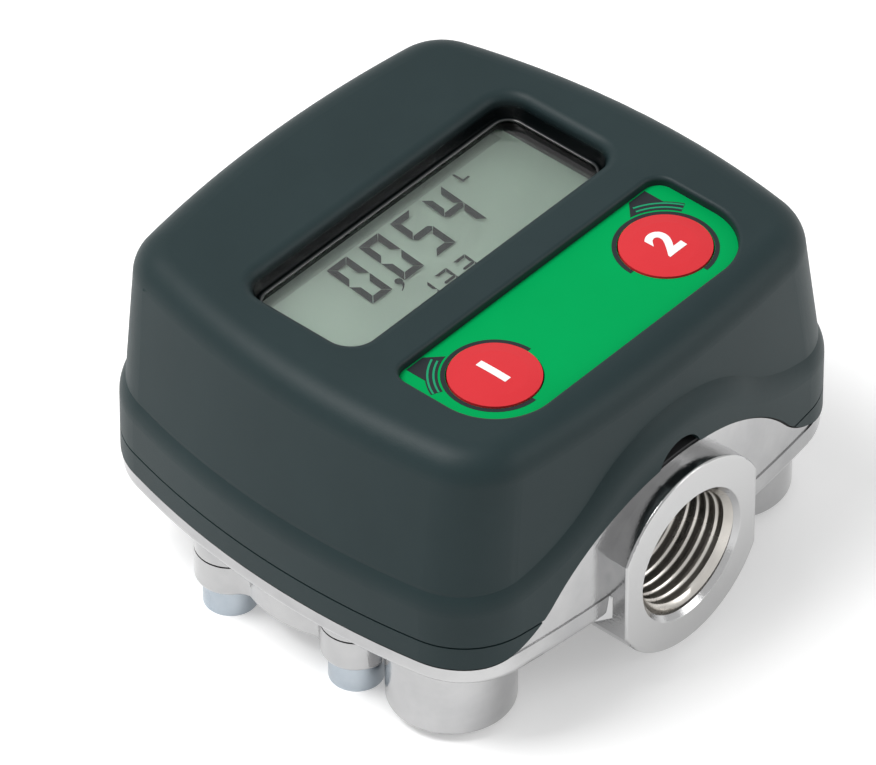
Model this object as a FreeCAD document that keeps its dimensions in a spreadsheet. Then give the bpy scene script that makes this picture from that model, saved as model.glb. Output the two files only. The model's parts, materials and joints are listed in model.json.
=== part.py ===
"""Compact in-line digital gear flow meter with G 1/2 ports.

Frame: millimetres, +Z up, origin under the middle of the meter at the height on which
it stands. The flow runs along Y through both ports, and the display reads along +X.
"""
import FreeCAD
import Part
import Sketcher
import math
import os
import re

Vector = FreeCAD.Vector
Rotation = FreeCAD.Rotation

# Driving dimensions. Every one is a cell of the spreadsheet, under its own name.
SIZES = {
    # heights of the main planes above the standing plane
    "screw_head_height": 5.0,
    "lug_height": 5.7,
    "skirt_rise": 4.1,
    "deck_thickness": 3.3,
    "seam_gap": 0.5,
    # plan of the cover: corner centres and radii, and the bulge of its sides
    "front_corner_x": 31.3,
    "front_corner_y": 26.35,
    "front_corner_radius": 12.9,
    "rear_corner_x": 28.5,
    "rear_corner_y": 27.35,
    "rear_corner_radius": 13.0,
    "side_bulge_radius": 137.0,
    "front_bulge_radius": 239.0,
    "rear_bulge_radius": 388.0,
    # plan of the cover's top
    "top_front_corner_x": 28.65,
    "top_front_corner_y": 25.85,
    "top_front_radius": 11.2,
    "top_rear_corner_x": 27.15,
    "top_rear_corner_y": 30.15,
    "top_rear_radius": 9.1,
    "top_rear_bulge_radius": 170.0,
    "top_edge_fillet": 5.5,
    "cover_wall": 2.6,
    "cover_top_thickness": 4.0,
    # the lower band of the cover and the wave that both shells share
    "band_step": 1.0,
    "band_flare_height": 4.0,
    "band_height": 10.0,
    "band_flare_radius": 6.0,
    "band_crest_rise": 13.3,
    "band_crest_radius": 30.0,
    "wave_crest_rise": 18.9,
    "wave_crest_radius": 34.4,
    "wave_half_width": 40.0,
    "pry_notch_radius": 4.8,
    "pry_notch_height": 3.0,
    "lip_groove_rise": 4.0,
    "lip_groove_width": 0.3,
    "lip_groove_depth": 0.25,
    "body_inset": 0.3,
    "body_wall": 2.9,
    "parting_step": 0.2,
    "skirt_fillet": 1.6,
    # window and keypad
    "window_half_width": 30.4,
    "window_front_y": -3.9,
    "window_rear_y": 19.4,
    "window_corner_radius": 4.6,
    "window_draft_inset": 1.5,
    "window_edge_fillet": 1.8,
    "label_half_width": 30.0,
    "label_front_y": -32.35,
    "label_rear_y": -10.85,
    "label_rear_radius": 2.8,
    "label_front_radius": 10.2,
    "label_recess": 1.8,
    "label_edge_fillet": 0.7,
    "label_thickness": 0.25,
    "button_x": 19.3,
    "button_y": -21.75,
    "button_radius": 7.1,
    "button_dome": 0.5,
    "dome_shoulder_share": 0.7,
    "dome_shoulder_rise": 0.6,
    "dome_crown_share": 0.35,
    "dome_crown_rise": 0.9,
    "button_rise": 0.25,
    "button_clearance": 0.2,
    "button_flange_width": 1.3,
    "button_flange_thickness": 1.0,
    "plunger_radius": 2.5,
    "plunger_length": 4.6,
    # ports
    "port_axis_rise": 8.3,
    "port_face_y": 43.95,
    "port_thread_radius": 10.48,
    "port_thread_length": 14.0,
    "port_boss_radius": 16.5,
    "port_flat_x": 14.85,
    "port_tube_wall": 3.1,
    "port_boss_height": 8.0,
    "port_mouth_radius": 11.25,
    "port_mouth_depth": 0.8,
    "port_rim_fillet": 0.4,
    "port_web_root_x": 19.0,
    "port_web_foot_x": 15.3,
    "port_web_root_y": 38.6,
    "port_web_tip_y": 41.2,
    "strainer_radius": 9.0,
    "strainer_thickness": 1.0,
    "strainer_hole_radius": 0.75,
    "strainer_hole_pitch": 2.9,
    "strainer_row_factor": 0.866,
    "passage_radius": 6.0,
    # measuring chamber and gears
    "chamber_y": 2.65,
    "chamber_depth": 14.0,
    "roof_thickness": 4.0,
    "gear_module": 2.0,
    "gear_teeth": 16,
    "gear_dedendum_factor": 1.25,
    "gear_pressure_angle": 25.0,
    "gear_backlash": 0.16,
    "gear_tip_clearance": 0.08,
    "gear_side_clearance": 0.05,
    "shaft_radius": 3.0,
    "shaft_running_clearance": 0.05,
    "shaft_seat_clearance": 0.03,
    "shaft_seat_in_cover": 3.5,
    "shaft_seat_in_roof": 2.0,
    "magnet_radius": 2.0,
    "magnet_height": 2.0,
    "magnet_orbit": 9.0,
    "fit_clearance": 0.05,
    # chamber cover, its seal and screws
    "cover_plate_centre_x": 19.5,
    "cover_plate_radius": 20.9,
    "cover_root_fillet": 2.0,
    "cover_edge_fillet": 0.8,
    "seal_inset": 0.6,
    "seal_width": 1.4,
    "seal_depth": 1.2,
    "lug_x": 36.8,
    "lug_spread_y": 12.6,
    "lug_radius": 5.5,
    "lug_gap": 0.3,
    "screw_radius": 2.45,
    "screw_length": 12.0,
    "screw_head_radius": 4.25,
    "screw_clearance": 0.3,
    "screw_socket_width": 4.0,
    "hexagon_factor": 1.732,
    "screw_socket_depth": 2.5,
    "block_wall": 2.4,
    # battery tubes
    "battery_x": 31.65,
    "battery_y": -24.25,
    "battery_boss_radius": 9.95,
    "battery_boss_rise": 1.5,
    "battery_boss_gap": 0.5,
    "battery_boss_fillet": 0.6,
    "battery_radius": 6.0,
    "battery_length": 29.2,
    "battery_nub_radius": 2.75,
    "battery_nub_height": 1.0,
    "battery_side_clearance": 0.3,
    "battery_tube_wall": 1.7,
    "battery_tube_drop": 2.2,
    "battery_cap_radius": 7.95,
    "battery_cap_height": 5.5,
    "battery_cap_slot_width": 2.0,
    "battery_cap_slot_share": 0.75,
    "battery_groove_share": 0.6,
    "battery_cap_slot_depth": 1.6,
    "battery_seal_section": 0.8,
    "battery_spring_height": 2.0,
    "battery_spring_radius": 4.4,
    "battery_spring_wire": 0.5,
    "battery_spring_fullness": 0.9,
    "battery_spring_turns": 2.0,
    "battery_spring_cone": 45.0,
    # inner tray, board and display
    "tray_half_width": 36.0,
    "tray_front_y": -32.5,
    "tray_rear_y": 30.5,
    "tray_corner_radius": 6.0,
    "tray_floor_z": 33.0,
    "tray_floor_thickness": 1.6,
    "tray_wall": 1.8,
    "tray_tube_clearance": 0.6,
    "post_radius": 3.6,
    "front_post_x": 17.5,
    "front_post_y": -27.5,
    "rear_post_x": 31.0,
    "rear_post_y": 24.0,
    "tray_screw_radius": 1.45,
    "tray_screw_length": 10.0,
    "tray_screw_head_radius": 2.75,
    "tray_screw_head_height": 1.8,
    "board_margin": 0.5,
    "board_thickness": 1.6,
    "board_post_radius": 2.6,
    "board_screw_front_x": 25.0,
    "board_screw_front_y": -29.6,
    "board_screw_rear_x": 24.0,
    "board_screw_rear_y": 27.2,
    "board_screw_radius": 0.95,
    "board_screw_length": 4.0,
    "board_screw_head_radius": 1.9,
    "board_screw_head_height": 1.2,
    "controller_width": 8.0,
    "controller_height": 1.4,
    "controller_y": -20.0,
    "driver_length": 5.0,
    "driver_width": 4.0,
    "driver_height": 1.2,
    "driver_x": 9.5,
    "driver_y": -15.5,
    "memory_length": 4.0,
    "memory_width": 3.5,
    "memory_height": 1.1,
    "memory_x": -9.0,
    "memory_y": -24.5,
    "switch_width": 6.0,
    "switch_height": 3.5,
    "switch_well_radius": 1.9,
    "switch_well_depth": 2.6,
    "stem_radius": 1.75,
    "stem_rise": 0.7,
    "stem_length": 2.3,
    "strip_width": 2.0,
    "strip_half_length": 28.0,
    "lcd_half_width": 31.0,
    "lcd_margin_y": 1.6,
    "lcd_thickness": 2.4,
    "bezel_thickness": 0.8,
    "bezel_frame_radius": 2.3,
    "bezel_opening_radius": 1.15,
    "bezel_half_width": 27.3,
    "bezel_front_y": -1.9,
    "bezel_rear_y": 18.15,
    "lens_margin": 2.6,
    "lens_thickness": 2.0,
    "contact_width": 6.0,
    "contact_thickness": 0.4,
    "contact_gap": 0.1,
    "contact_rise": 2.2,
    # pulse sensor
    "sensor_board_length": 26.0,
    "sensor_board_width": 8.0,
    "sensor_board_thickness": 1.0,
    "sensor_chip_width": 4.0,
    "sensor_chip_height": 1.1,
    "sensor_x": 9.0,
    "header_pitch": 2.54,
    "header_pin_width": 0.64,
    "header_pins": 4,
    # gasket between the two shells
    "gasket_inset": 0.8,
    "gasket_width": 1.4,
    "gasket_play": 0.05,
}

# Values that follow from the driving dimensions, each as an expression on the sheet.
DERIVED = {
    "joint_z": "screw_head_height + lug_height",
    "skirt_z": "joint_z + skirt_rise",
    "deck_z": "skirt_z + deck_thickness",
    "seam_z": "deck_z + seam_gap",
    "battery_z": "battery_boss_rise + battery_cap_height + battery_spring_height",
    "battery_top_z": "battery_z + battery_length + battery_nub_height",
    "battery_tube_top": "battery_top_z - battery_tube_drop",
    "board_z": "battery_top_z + contact_rise",
    "board_top_z": "board_z + board_thickness",
    "switch_top_z": "board_top_z + switch_height",
    "plunger_z": "switch_top_z + stem_rise",
    "ceiling_z": "plunger_z + plunger_length",
    "top_z": "ceiling_z + cover_top_thickness",
    "band_foot_z": "seam_z + band_height",
    "band_top_z": "band_foot_z + band_flare_radius",
    "crest_z": "seam_z + wave_crest_rise",
    "shoulder_z": "band_foot_z + band_flare_height",
    "label_z": "top_z - label_recess",
    "port_axis_z": "joint_z + port_axis_rise",
    "chamber_top_z": "joint_z + chamber_depth",
    "roof_z": "chamber_top_z + roof_thickness",
    "gear_pitch_radius": "gear_module * gear_teeth / 2",
    "gear_tip_radius": "gear_pitch_radius + gear_module",
    "gear_root_radius": "gear_pitch_radius - gear_module * gear_dedendum_factor",
    "gear_height": "chamber_depth - 2 * gear_side_clearance",
    "chamber_radius": "gear_tip_radius + gear_tip_clearance",
    "seal_inner_radius": "chamber_radius + seal_inset",
    "seal_outer_radius": "seal_inner_radius + seal_width",
    "block_radius": "chamber_radius + block_wall",
    "port_bore_end_y": "port_face_y - port_thread_length",
    "port_tube_radius": "port_thread_radius + port_tube_wall",
    "port_tube_start_y": "port_face_y - port_boss_height",
    "port_tube_end_y": "port_bore_end_y - strainer_thickness - port_tube_wall",
    "port_bore_start_y": "port_face_y - port_mouth_depth",
    "passage_end_y": "passage_radius",
    "battery_bore_radius": "battery_radius + battery_side_clearance",
    "battery_cap_bore_radius": "battery_cap_radius + fit_clearance",
    "battery_tube_radius": "battery_bore_radius + battery_tube_wall",
    "boss_clear_radius": "battery_boss_radius + battery_boss_gap",
    "tray_height": "board_z - tray_floor_z",
    "lens_z": "ceiling_z - lens_thickness",
    "lcd_top_z": "lens_z - bezel_thickness",
    "lcd_z": "lcd_top_z - lcd_thickness",
    "lcd_front_y": "window_front_y - lcd_margin_y",
    "lcd_rear_y": "window_rear_y + lcd_margin_y",
    "header_y": "chamber_y + sensor_board_width / 2 - header_pitch / 2",
    "gasket_low_z": "deck_z + gasket_play",
    "gasket_top_z": "seam_z - gasket_play",
}

document = FreeCAD.newDocument("FlowMeter")
sheet = document.addObject("Spreadsheet::Sheet", "Sizes")


def on_sheet(expression):
    """Return the expression with every size named as a cell or as a layout property."""
    def qualify(match):
        word = match.group(0)
        if word in SIZES:
            return "Sizes." + word
        if word in DERIVED:
            return "Layout." + word
        return word
    return re.sub(r"[a-z][a-z_]*[a-z]", qualify, str(expression))


for row, (name, value) in enumerate(SIZES.items(), start=1):
    sheet.set(f"A{row}", name)
    sheet.set(f"B{row}", str(value))
    sheet.setAlias(f"B{row}", name)
document.recompute()

layout = document.addObject("App::VarSet", "Layout")
for name, expression in DERIVED.items():
    layout.addProperty("App::PropertyFloat", name, "Derived")
for name, expression in DERIVED.items():
    layout.setExpression(name, on_sheet(expression))
layout.addProperty("App::PropertyFloat", "reading", "Derived")
document.recompute()


def size(name):
    """Return the number that a size has now."""
    return getattr(layout, name) if name in DERIVED else sheet.get(name)


def number(expression):
    """Return what an expression comes to with the sizes as they are now."""
    layout.setExpression("reading", on_sheet(expression))
    layout.recompute()
    return layout.reading


# ---------------------------------------------------------------- helpers: solids


TURNS = {
    "z": Rotation(),
    "x": Rotation(Vector(0, 1, 0), 90),
    "y": Rotation(Vector(1, 0, 0), -90),
}


def bind(item, **expressions):
    """Tie properties of an item to the sheet."""
    for name, expression in expressions.items():
        item.setExpression(name, on_sheet(expression))


def place(item, x="0", y="0", z="0", axis="z"):
    """Turn an item to an axis and tie its base point to the sheet."""
    item.Placement = FreeCAD.Placement(Vector(), TURNS[axis])
    for letter, expression in zip("xyz", (x, y, z)):
        item.setExpression("Placement.Base." + letter, on_sheet(expression))
    return item


def cylinder(name, radius, height, x="0", y="0", z="0", axis="z"):
    """Round bar from its base point along an axis."""
    item = document.addObject("Part::Cylinder", name)
    bind(item, Radius=radius, Height=height)
    return place(item, x, y, z, axis)


def cone(name, low_radius, high_radius, height, x="0", y="0", z="0", axis="z"):
    """Tapered bar from its base point along an axis."""
    item = document.addObject("Part::Cone", name)
    bind(item, Radius1=low_radius, Radius2=high_radius, Height=height)
    return place(item, x, y, z, axis)


def box(name, length, width, height, x="0", y="0", z="0"):
    """Block with its middle at x, y and its underside at z."""
    item = document.addObject("Part::Box", name)
    bind(item, Length=length, Width=width, Height=height)
    return place(item, f"({x}) - ({length}) / 2", f"({y}) - ({width}) / 2", z)


def softened(name, base, radius, chosen):
    """Round the chosen edges of a finished solid."""
    document.recompute()
    rounding = document.addObject("Part::Fillet", name)
    rounding.Base = base
    rounding.Edges = [(number, size(radius), size(radius))
                      for number, edge in enumerate(base.Shape.Edges, start=1) if chosen(edge)]
    return rounding


def fuse(name, shapes):
    """Join solids into one."""
    item = document.addObject("Part::MultiFuse", name)
    item.Shapes = shapes
    item.Refine = True
    return item


def group(name, shapes):
    """Keep separate solids together as one node."""
    item = document.addObject("Part::Compound", name)
    item.Links = shapes
    return item


def common(name, first, second):
    """Keep what two solids share."""
    item = document.addObject("Part::MultiCommon", name)
    item.Shapes = [first, second]
    return item


def cut(name, base, tools):
    """Take the tools away from the base."""
    item = document.addObject("Part::Cut", name)
    item.Base = base
    item.Tool = tools[0] if len(tools) == 1 else fuse(name + "_tools", tools)
    item.Refine = True
    return item


# ---------------------------------------------------------------- helpers: sketches


def new_body(name):
    """Empty body that later features build up."""
    return document.addObject("PartDesign::Body", name)


def new_sketch(body, role, offset="0"):
    """Sketch on one of the body's own origin planes, moved along its normal."""
    planes = {plane.Role: plane for plane in body.Origin.OriginFeatures}
    sketch = body.newObject("Sketcher::SketchObject", body.Name + "_sketch")
    sketch.AttachmentSupport = [(planes[role], "")]
    sketch.MapMode = "FlatFace"
    sketch.setExpression("AttachmentOffset.Base.z", on_sheet(offset))
    return sketch


def pin_point(sketch, geometry, point, x, y):
    """Tie a point of the sketch to a place on the sheet."""
    for kind, expression in (("DistanceX", x), ("DistanceY", y)):
        if str(expression) == "0":
            axis = -2 if kind == "DistanceX" else -1
            sketch.addConstraint(Sketcher.Constraint("PointOnObject", geometry, point, axis))
            continue
        here = sketch.getPoint(geometry, point)
        start = here.x if kind == "DistanceX" else here.y
        index = sketch.addConstraint(Sketcher.Constraint(kind, -1, 1, geometry, point, start))
        sketch.setExpression(f"Constraints[{index}]", on_sheet(expression))


def add_circle(sketch, x, y, radius):
    """Circle whose centre and radius are tied to the sheet."""
    circle = Part.Circle(Vector(0.5, 0.5, 0), Vector(0, 0, 1), 1.0)
    index = sketch.addGeometry(circle, False)
    pin_point(sketch, index, 3, x, y)
    tie_radius(sketch, index, radius)
    return index


def add_polygon(sketch, corners):
    """Closed outline of straight lines whose corners are tied to the sheet."""
    count = len(corners)
    ring = [Vector(math.cos(2 * math.pi * i / count), math.sin(2 * math.pi * i / count), 0)
            for i in range(count)]
    first = None
    for i in range(count):
        index = sketch.addGeometry(Part.LineSegment(ring[i], ring[(i + 1) % count]), False)
        first = index if first is None else first
    for i in range(count):
        following = first + (i + 1) % count
        sketch.addConstraint(Sketcher.Constraint("Coincident", first + i, 2, following, 1))
    for i, (x, y) in enumerate(corners):
        pin_point(sketch, first + i, 1, x, y)
    return first


def pad(body, sketch, length, reverse=False):
    """Raise a sketch by a length from the sheet."""
    feature = body.newObject("PartDesign::Pad", body.Name + "_pad")
    feature.Profile = sketch
    feature.Reversed = reverse
    bind(feature, Length=length)
    return feature


def pocket(body, sketch, length, reverse=False):
    """Sink a sketch into the body."""
    feature = body.newObject("PartDesign::Pocket", body.Name + "_pocket")
    feature.Profile = sketch
    feature.Reversed = reverse
    bind(feature, Length=length)
    return feature


def turned(name, corners, x="0", y="0", z="0"):
    """Turned piece: a closed half section (radius, height) spun about its own axis."""
    body = new_body(name)
    sketch = new_sketch(body, "XZ_Plane")
    add_polygon(sketch, corners)
    spin = body.newObject("PartDesign::Revolution", name + "_spin")
    spin.Profile = sketch
    spin.ReferenceAxis = (sketch, ["V_Axis"])
    spin.Angle = 360.0
    place(body, x, y, z)
    return body


# ---------------------------------------------------------------- helpers: outlines


FOOT_PLAN = (
    ("front_corner_x", "front_corner_y", "front_corner_radius"),
    ("rear_corner_x", "rear_corner_y", "rear_corner_radius"),
    "rear_bulge_radius",
)
TOP_PLAN = (
    ("top_front_corner_x", "top_front_corner_y", "top_front_radius"),
    ("top_rear_corner_x", "top_rear_corner_y", "top_rear_radius"),
    "top_rear_bulge_radius",
)


def arc_between(centre, radius, start, end):
    """Arc about a centre, counter-clockwise from one point to another."""
    circle = Part.Circle(centre, Vector(0, 0, 1), radius)
    first = math.atan2(start.y - centre.y, start.x - centre.x)
    last = math.atan2(end.y - centre.y, end.x - centre.x)
    if last < first:
        last += 2 * math.pi
    return Part.ArcOfCircle(circle, first, last)


def bulge_centre(first, second, radius):
    """Centre of the arc that touches two corner circles and bows outwards."""
    (start, start_radius), (end, end_radius) = first, second
    reach_start = radius - start_radius
    reach_end = radius - end_radius
    chord = end - start
    along = (reach_start ** 2 - reach_end ** 2 + chord.Length ** 2) / (2 * chord.Length)
    across = math.sqrt(reach_start ** 2 - along ** 2)
    unit = chord.normalize()
    return start + unit * along + Vector(-unit.y, unit.x, 0) * across


def bulged_outline(sketch, plan, *insets):
    """Four round corners joined by four bowed sides, moved inwards by the insets."""
    inset = sum(size(name) for name in insets)
    inset_text = "".join(" - " + name for name in insets)
    front, rear, rear_bulge = plan
    corners = [(-1, -1, front), (1, -1, front), (1, 1, rear), (-1, 1, rear)]
    bulges = ["front_bulge_radius", "side_bulge_radius", rear_bulge, "side_bulge_radius"]
    rounds = []
    for side_x, side_y, (x_name, y_name, radius_name) in corners:
        middle = Vector(side_x * size(x_name), side_y * size(y_name), 0)
        rounds.append((middle, size(radius_name) - inset))
    middles = [bulge_centre(rounds[i], rounds[(i + 1) % 4], size(bulges[i]) - inset)
               for i in range(4)]

    def touch(corner, bulge):
        middle, radius = rounds[corner]
        away = middle - middles[bulge]
        return middle + away.normalize() * radius

    indexes = []
    for i in range(4):
        middle, radius = rounds[i]
        corner_arc = arc_between(middle, radius, touch(i, i - 1), touch(i, i))
        following = (i + 1) % 4
        side_arc = arc_between(middles[i], size(bulges[i]) - inset,
                               touch(i, i), touch(following, i))
        indexes += [sketch.addGeometry(corner_arc, False), sketch.addGeometry(side_arc, False)]
    for i, (side_x, side_y, (x_name, y_name, radius_name)) in enumerate(corners):
        pin_point(sketch, indexes[2 * i], 3, f"{side_x} * {x_name}", f"{side_y} * {y_name}")
        tie_radius(sketch, indexes[2 * i], radius_name + inset_text)
        tie_radius(sketch, indexes[2 * i + 1], bulges[i] + inset_text)
    for i in range(8):
        pair = (indexes[i], 2, indexes[(i + 1) % 8], 1)
        sketch.addConstraint(Sketcher.Constraint("Tangent", *pair))


def tie_radius(sketch, index, expression):
    """Tie the radius of a circle or an arc to the sheet."""
    radius = sketch.Geometry[index].Radius
    constraint = sketch.addConstraint(Sketcher.Constraint("Radius", index, radius))
    sketch.setExpression(f"Constraints[{constraint}]", on_sheet(expression))


def wave_outline(sketch, foot, rise, radius, limit):
    """Region between a wave along X and a level line.

    The wave is one crest of the given rise over the foot level, led into the level on
    both sides by hollow arcs that end at the wave's half width.
    """
    foot_z, crest, crest_radius = size(foot), size(rise), size(radius)
    half_width, limit_z = size("wave_half_width"), size(limit)
    end_x = half_width + size("front_corner_radius")
    hollow = (half_width ** 2 + (crest_radius - crest) ** 2 - crest_radius ** 2) / (2 * crest)
    top_centre = Vector(0, foot_z + crest - crest_radius, 0)
    right_centre = Vector(half_width, foot_z + hollow, 0)
    left_centre = Vector(-half_width, foot_z + hollow, 0)
    reach = (right_centre - top_centre).normalize() * crest_radius
    right_touch = top_centre + reach
    left_touch = top_centre + Vector(-reach.x, reach.y, 0)
    right_foot = Vector(half_width, foot_z, 0)
    left_foot = Vector(-half_width, foot_z, 0)
    ends = [Vector(end_x, foot_z, 0), Vector(end_x, limit_z, 0),
            Vector(-end_x, limit_z, 0), Vector(-end_x, foot_z, 0)]
    crest_arc = sketch.addGeometry(arc_between(top_centre, crest_radius, right_touch, left_touch))
    left_arc = sketch.addGeometry(arc_between(left_centre, hollow, left_foot, left_touch))
    right_arc = sketch.addGeometry(arc_between(right_centre, hollow, right_touch, right_foot))
    corners = [right_foot] + ends + [left_foot]
    lines = [sketch.addGeometry(Part.LineSegment(corners[i], corners[i + 1]), False)
             for i in range(5)]
    for pair in ((right_arc, 1, crest_arc, 1), (crest_arc, 2, left_arc, 2),
                 (left_arc, 1, lines[4], 2), (right_arc, 2, lines[0], 1)):
        sketch.addConstraint(Sketcher.Constraint("Tangent", *pair))
    for i in range(4):
        sketch.addConstraint(Sketcher.Constraint("Coincident", lines[i], 2, lines[i + 1], 1))
    pin_point(sketch, crest_arc, 3, "0", f"{foot} + {rise} - {radius}")
    tie_radius(sketch, crest_arc, radius)
    for line, side in ((lines[0], 1), (lines[4], -1)):
        point = 1 if side > 0 else 2
        pin_point(sketch, line, point, f"{side} * wave_half_width", foot)
    far = "(wave_half_width + front_corner_radius)"
    pin_point(sketch, lines[1], 1, far, foot)
    pin_point(sketch, lines[1], 2, far, limit)
    pin_point(sketch, lines[3], 1, "-" + far, limit)
    pin_point(sketch, lines[3], 2, "-" + far, foot)


def loft(body, kind, sketches):
    """Ruled loft through sketches, added to the body or taken from it."""
    feature = body.newObject("PartDesign::" + kind, body.Name + "_loft")
    feature.Profile = sketches[0]
    feature.Sections = sketches[1:]
    feature.Ruled = True
    return feature


def clear_through(body, sketch):
    """Cut a sketch on the XZ plane right through the body both ways."""
    feature = body.newObject("PartDesign::Pocket", body.Name + "_clear")
    feature.Profile = sketch
    feature.Midplane = True
    bind(feature, Length="4 * port_face_y")
    return feature


def rounded(body, feature, radius, chosen, kind="Fillet"):
    """Round or bevel the chosen edges of a feature."""
    document.recompute()
    names = ["Edge%d" % number for number, edge in enumerate(feature.Shape.Edges, start=1)
             if chosen(edge)]
    rounding = body.newObject("PartDesign::" + kind, body.Name + "_" + kind.lower())
    rounding.Base = (feature, names)
    bind(rounding, **{"Radius" if kind == "Fillet" else "Size": radius})
    return rounding


EDGE_TOLERANCE = 1e-3


def at_height(height):
    """Test for edges that lie level at a height."""
    def chosen(edge):
        bounds = edge.BoundBox
        return max(abs(bounds.ZMin - height), abs(bounds.ZMax - height)) < EDGE_TOLERANCE
    return chosen


def above_height(height):
    """Test for edges that lie wholly at a height or above it."""
    def chosen(edge):
        return edge.BoundBox.ZMin > height - EDGE_TOLERANCE
    return chosen


def rim_within(half_width, front, rear):
    """Test for edges on the cover's top that lie within a rectangle."""
    level = at_height(size("top_z"))

    def chosen(edge):
        bounds = edge.BoundBox
        reach = size(half_width) + EDGE_TOLERANCE
        inside_x = bounds.XMin > -reach and bounds.XMax < reach
        inside_y = (bounds.YMin > size(front) - EDGE_TOLERANCE
                    and bounds.YMax < size(rear) + EDGE_TOLERANCE)
        return level(edge) and inside_x and inside_y
    return chosen


def window_outline(sketch, half_width, front, rear, radius, inset="0"):
    """Rectangle with four like round corners, moved inwards by the inset."""
    reach_x = f"({half_width}) - ({inset}) - ({radius})"
    low_y = f"({front}) + ({inset}) + ({radius})"
    high_y = f"({rear}) - ({inset}) - ({radius})"
    corners = [(f"0 - ({reach_x})", low_y, radius, 180), (reach_x, low_y, radius, 270),
               (reach_x, high_y, radius, 0), (f"0 - ({reach_x})", high_y, radius, 90)]
    round_cornered(sketch, corners)


def round_cornered(sketch, corners):
    """Straight sides that join round corners, each a centre, a radius and a start angle."""
    arcs = []
    for x, y, radius, angle in corners:
        circle = Part.Circle(Vector(number(x), number(y), 0), Vector(0, 0, 1), number(radius))
        arc = Part.ArcOfCircle(circle, math.radians(angle), math.radians(angle + 90))
        arcs.append(sketch.addGeometry(arc, False))
    lines = []
    for i in range(4):
        first, second = sketch.Geometry[arcs[i]], sketch.Geometry[arcs[(i + 1) % 4]]
        lines.append(sketch.addGeometry(Part.LineSegment(first.EndPoint, second.StartPoint), False))
    for i in range(4):
        sketch.addConstraint(Sketcher.Constraint("Tangent", arcs[i], 2, lines[i], 1))
        sketch.addConstraint(Sketcher.Constraint("Tangent", lines[i], 2, arcs[(i + 1) % 4], 1))
    for arc, (x, y, radius, _) in zip(arcs, corners):
        pin_point(sketch, arc, 3, x, y)
    for i in (0, 2):
        tie_radius(sketch, arcs[i], corners[i][2])


# ---------------------------------------------------------------- outer cover


def make_outer_cover():
    """Moulded cover: lower band under a wave, drafted upper wall, window and keypad."""
    body = new_body("outer_cover")
    foot = new_sketch(body, "XY_Plane", "seam_z")
    bulged_outline(foot, FOOT_PLAN)
    pad(body, foot, "band_top_z + band_crest_rise - seam_z")
    band_top = new_sketch(body, "XZ_Plane")
    wave_outline(band_top, "band_top_z", "band_crest_rise", "band_crest_radius", "top_z")
    band = clear_through(body, band_top)
    rounded(body, band, "band_flare_radius", above_height(size("band_top_z")))
    sections = []
    for plan, level, insets in ((FOOT_PLAN, "seam_z", ("band_step",)),
                                (FOOT_PLAN, "shoulder_z", ("band_step",)),
                                (TOP_PLAN, "top_z", ())):
        section = new_sketch(body, "XY_Plane", level)
        bulged_outline(section, plan, *insets)
        sections.append(section)
    upper = loft(body, "AdditiveLoft", sections)
    rounded(body, upper, "top_edge_fillet", at_height(size("top_z")))
    hollows = []
    for plan, level, insets in ((FOOT_PLAN, "seam_z", ("band_step", "cover_wall")),
                                (FOOT_PLAN, "shoulder_z", ("band_step", "cover_wall")),
                                (TOP_PLAN, "ceiling_z", ("cover_wall",))):
        section = new_sketch(body, "XY_Plane", level)
        bulged_outline(section, plan, *insets)
        hollows.append(section)
    loft(body, "SubtractiveLoft", hollows)
    wave = new_sketch(body, "XZ_Plane")
    wave_outline(wave, "seam_z", "wave_crest_rise", "wave_crest_radius", "joint_z")
    clear_through(body, wave)
    cut_lip_groove(body)
    cut_window(body)
    cut_keypad(body)
    notch = new_sketch(body, "XZ_Plane", "front_corner_y")
    add_circle(notch, "0", "crest_z + pry_notch_height - pry_notch_radius", "pry_notch_radius")
    pocket(body, notch, "port_face_y - front_corner_y", reverse=True)
    return body


def cut_lip_groove(body):
    """Fine groove that runs round the cover above its lower lip."""
    groove = new_sketch(body, "XY_Plane", "seam_z + lip_groove_rise")
    bulged_outline(groove, FOOT_PLAN, "lip_groove_depth")
    reach = "(wave_half_width + front_corner_radius)"
    add_polygon(groove, [(f"-{reach}", f"-{reach}"), (reach, f"-{reach}"),
                         (reach, reach), (f"-{reach}", reach)])
    pocket(body, groove, "lip_groove_width", reverse=True)


def cut_window(body):
    """Drafted recess down to the lens, right through the top."""
    sections = []
    for level, inset in (("top_z", "0"), ("ceiling_z", "window_draft_inset")):
        section = new_sketch(body, "XY_Plane", level)
        window_outline(section, "window_half_width", "window_front_y", "window_rear_y",
                       f"window_corner_radius - ({inset})", inset)
        sections.append(section)
    opening = loft(body, "SubtractiveLoft", sections)
    rounded(body, opening, "window_edge_fillet",
            rim_within("window_half_width", "window_front_y", "window_rear_y"))


def cut_keypad(body):
    """Flat recess for the label and two holes for the buttons."""
    recess = new_sketch(body, "XY_Plane", "label_z")
    label_outline(recess)
    sunk = pocket(body, recess, "label_recess", reverse=True)
    rounded(body, sunk, "label_edge_fillet",
            rim_within("label_half_width", "label_front_y", "label_rear_y"))
    holes = new_sketch(body, "XY_Plane", "top_z")
    for side in (-1, 1):
        add_circle(holes, f"{side} * button_x", "button_y", "button_radius + button_clearance")
    pocket(body, holes, "cover_top_thickness")


def label_outline(sketch, inset="0"):
    """Label shape: small corners beside the window, large ones round the buttons."""
    corners = []
    for side, end, angle in ((-1, "front", 180), (1, "front", 270), (1, "rear", 0), (-1, "rear", 90)):
        radius = f"label_{end}_radius"
        sign = "+" if end == "front" else "-"
        corners.append((f"{side} * (label_half_width - {radius})", f"label_{end}_y {sign} {radius}",
                        f"{radius} - ({inset})", angle))
    round_cornered(sketch, corners)


# ---------------------------------------------------------------- meter body


SIDES = {"left": -1, "right": 1}


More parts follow.
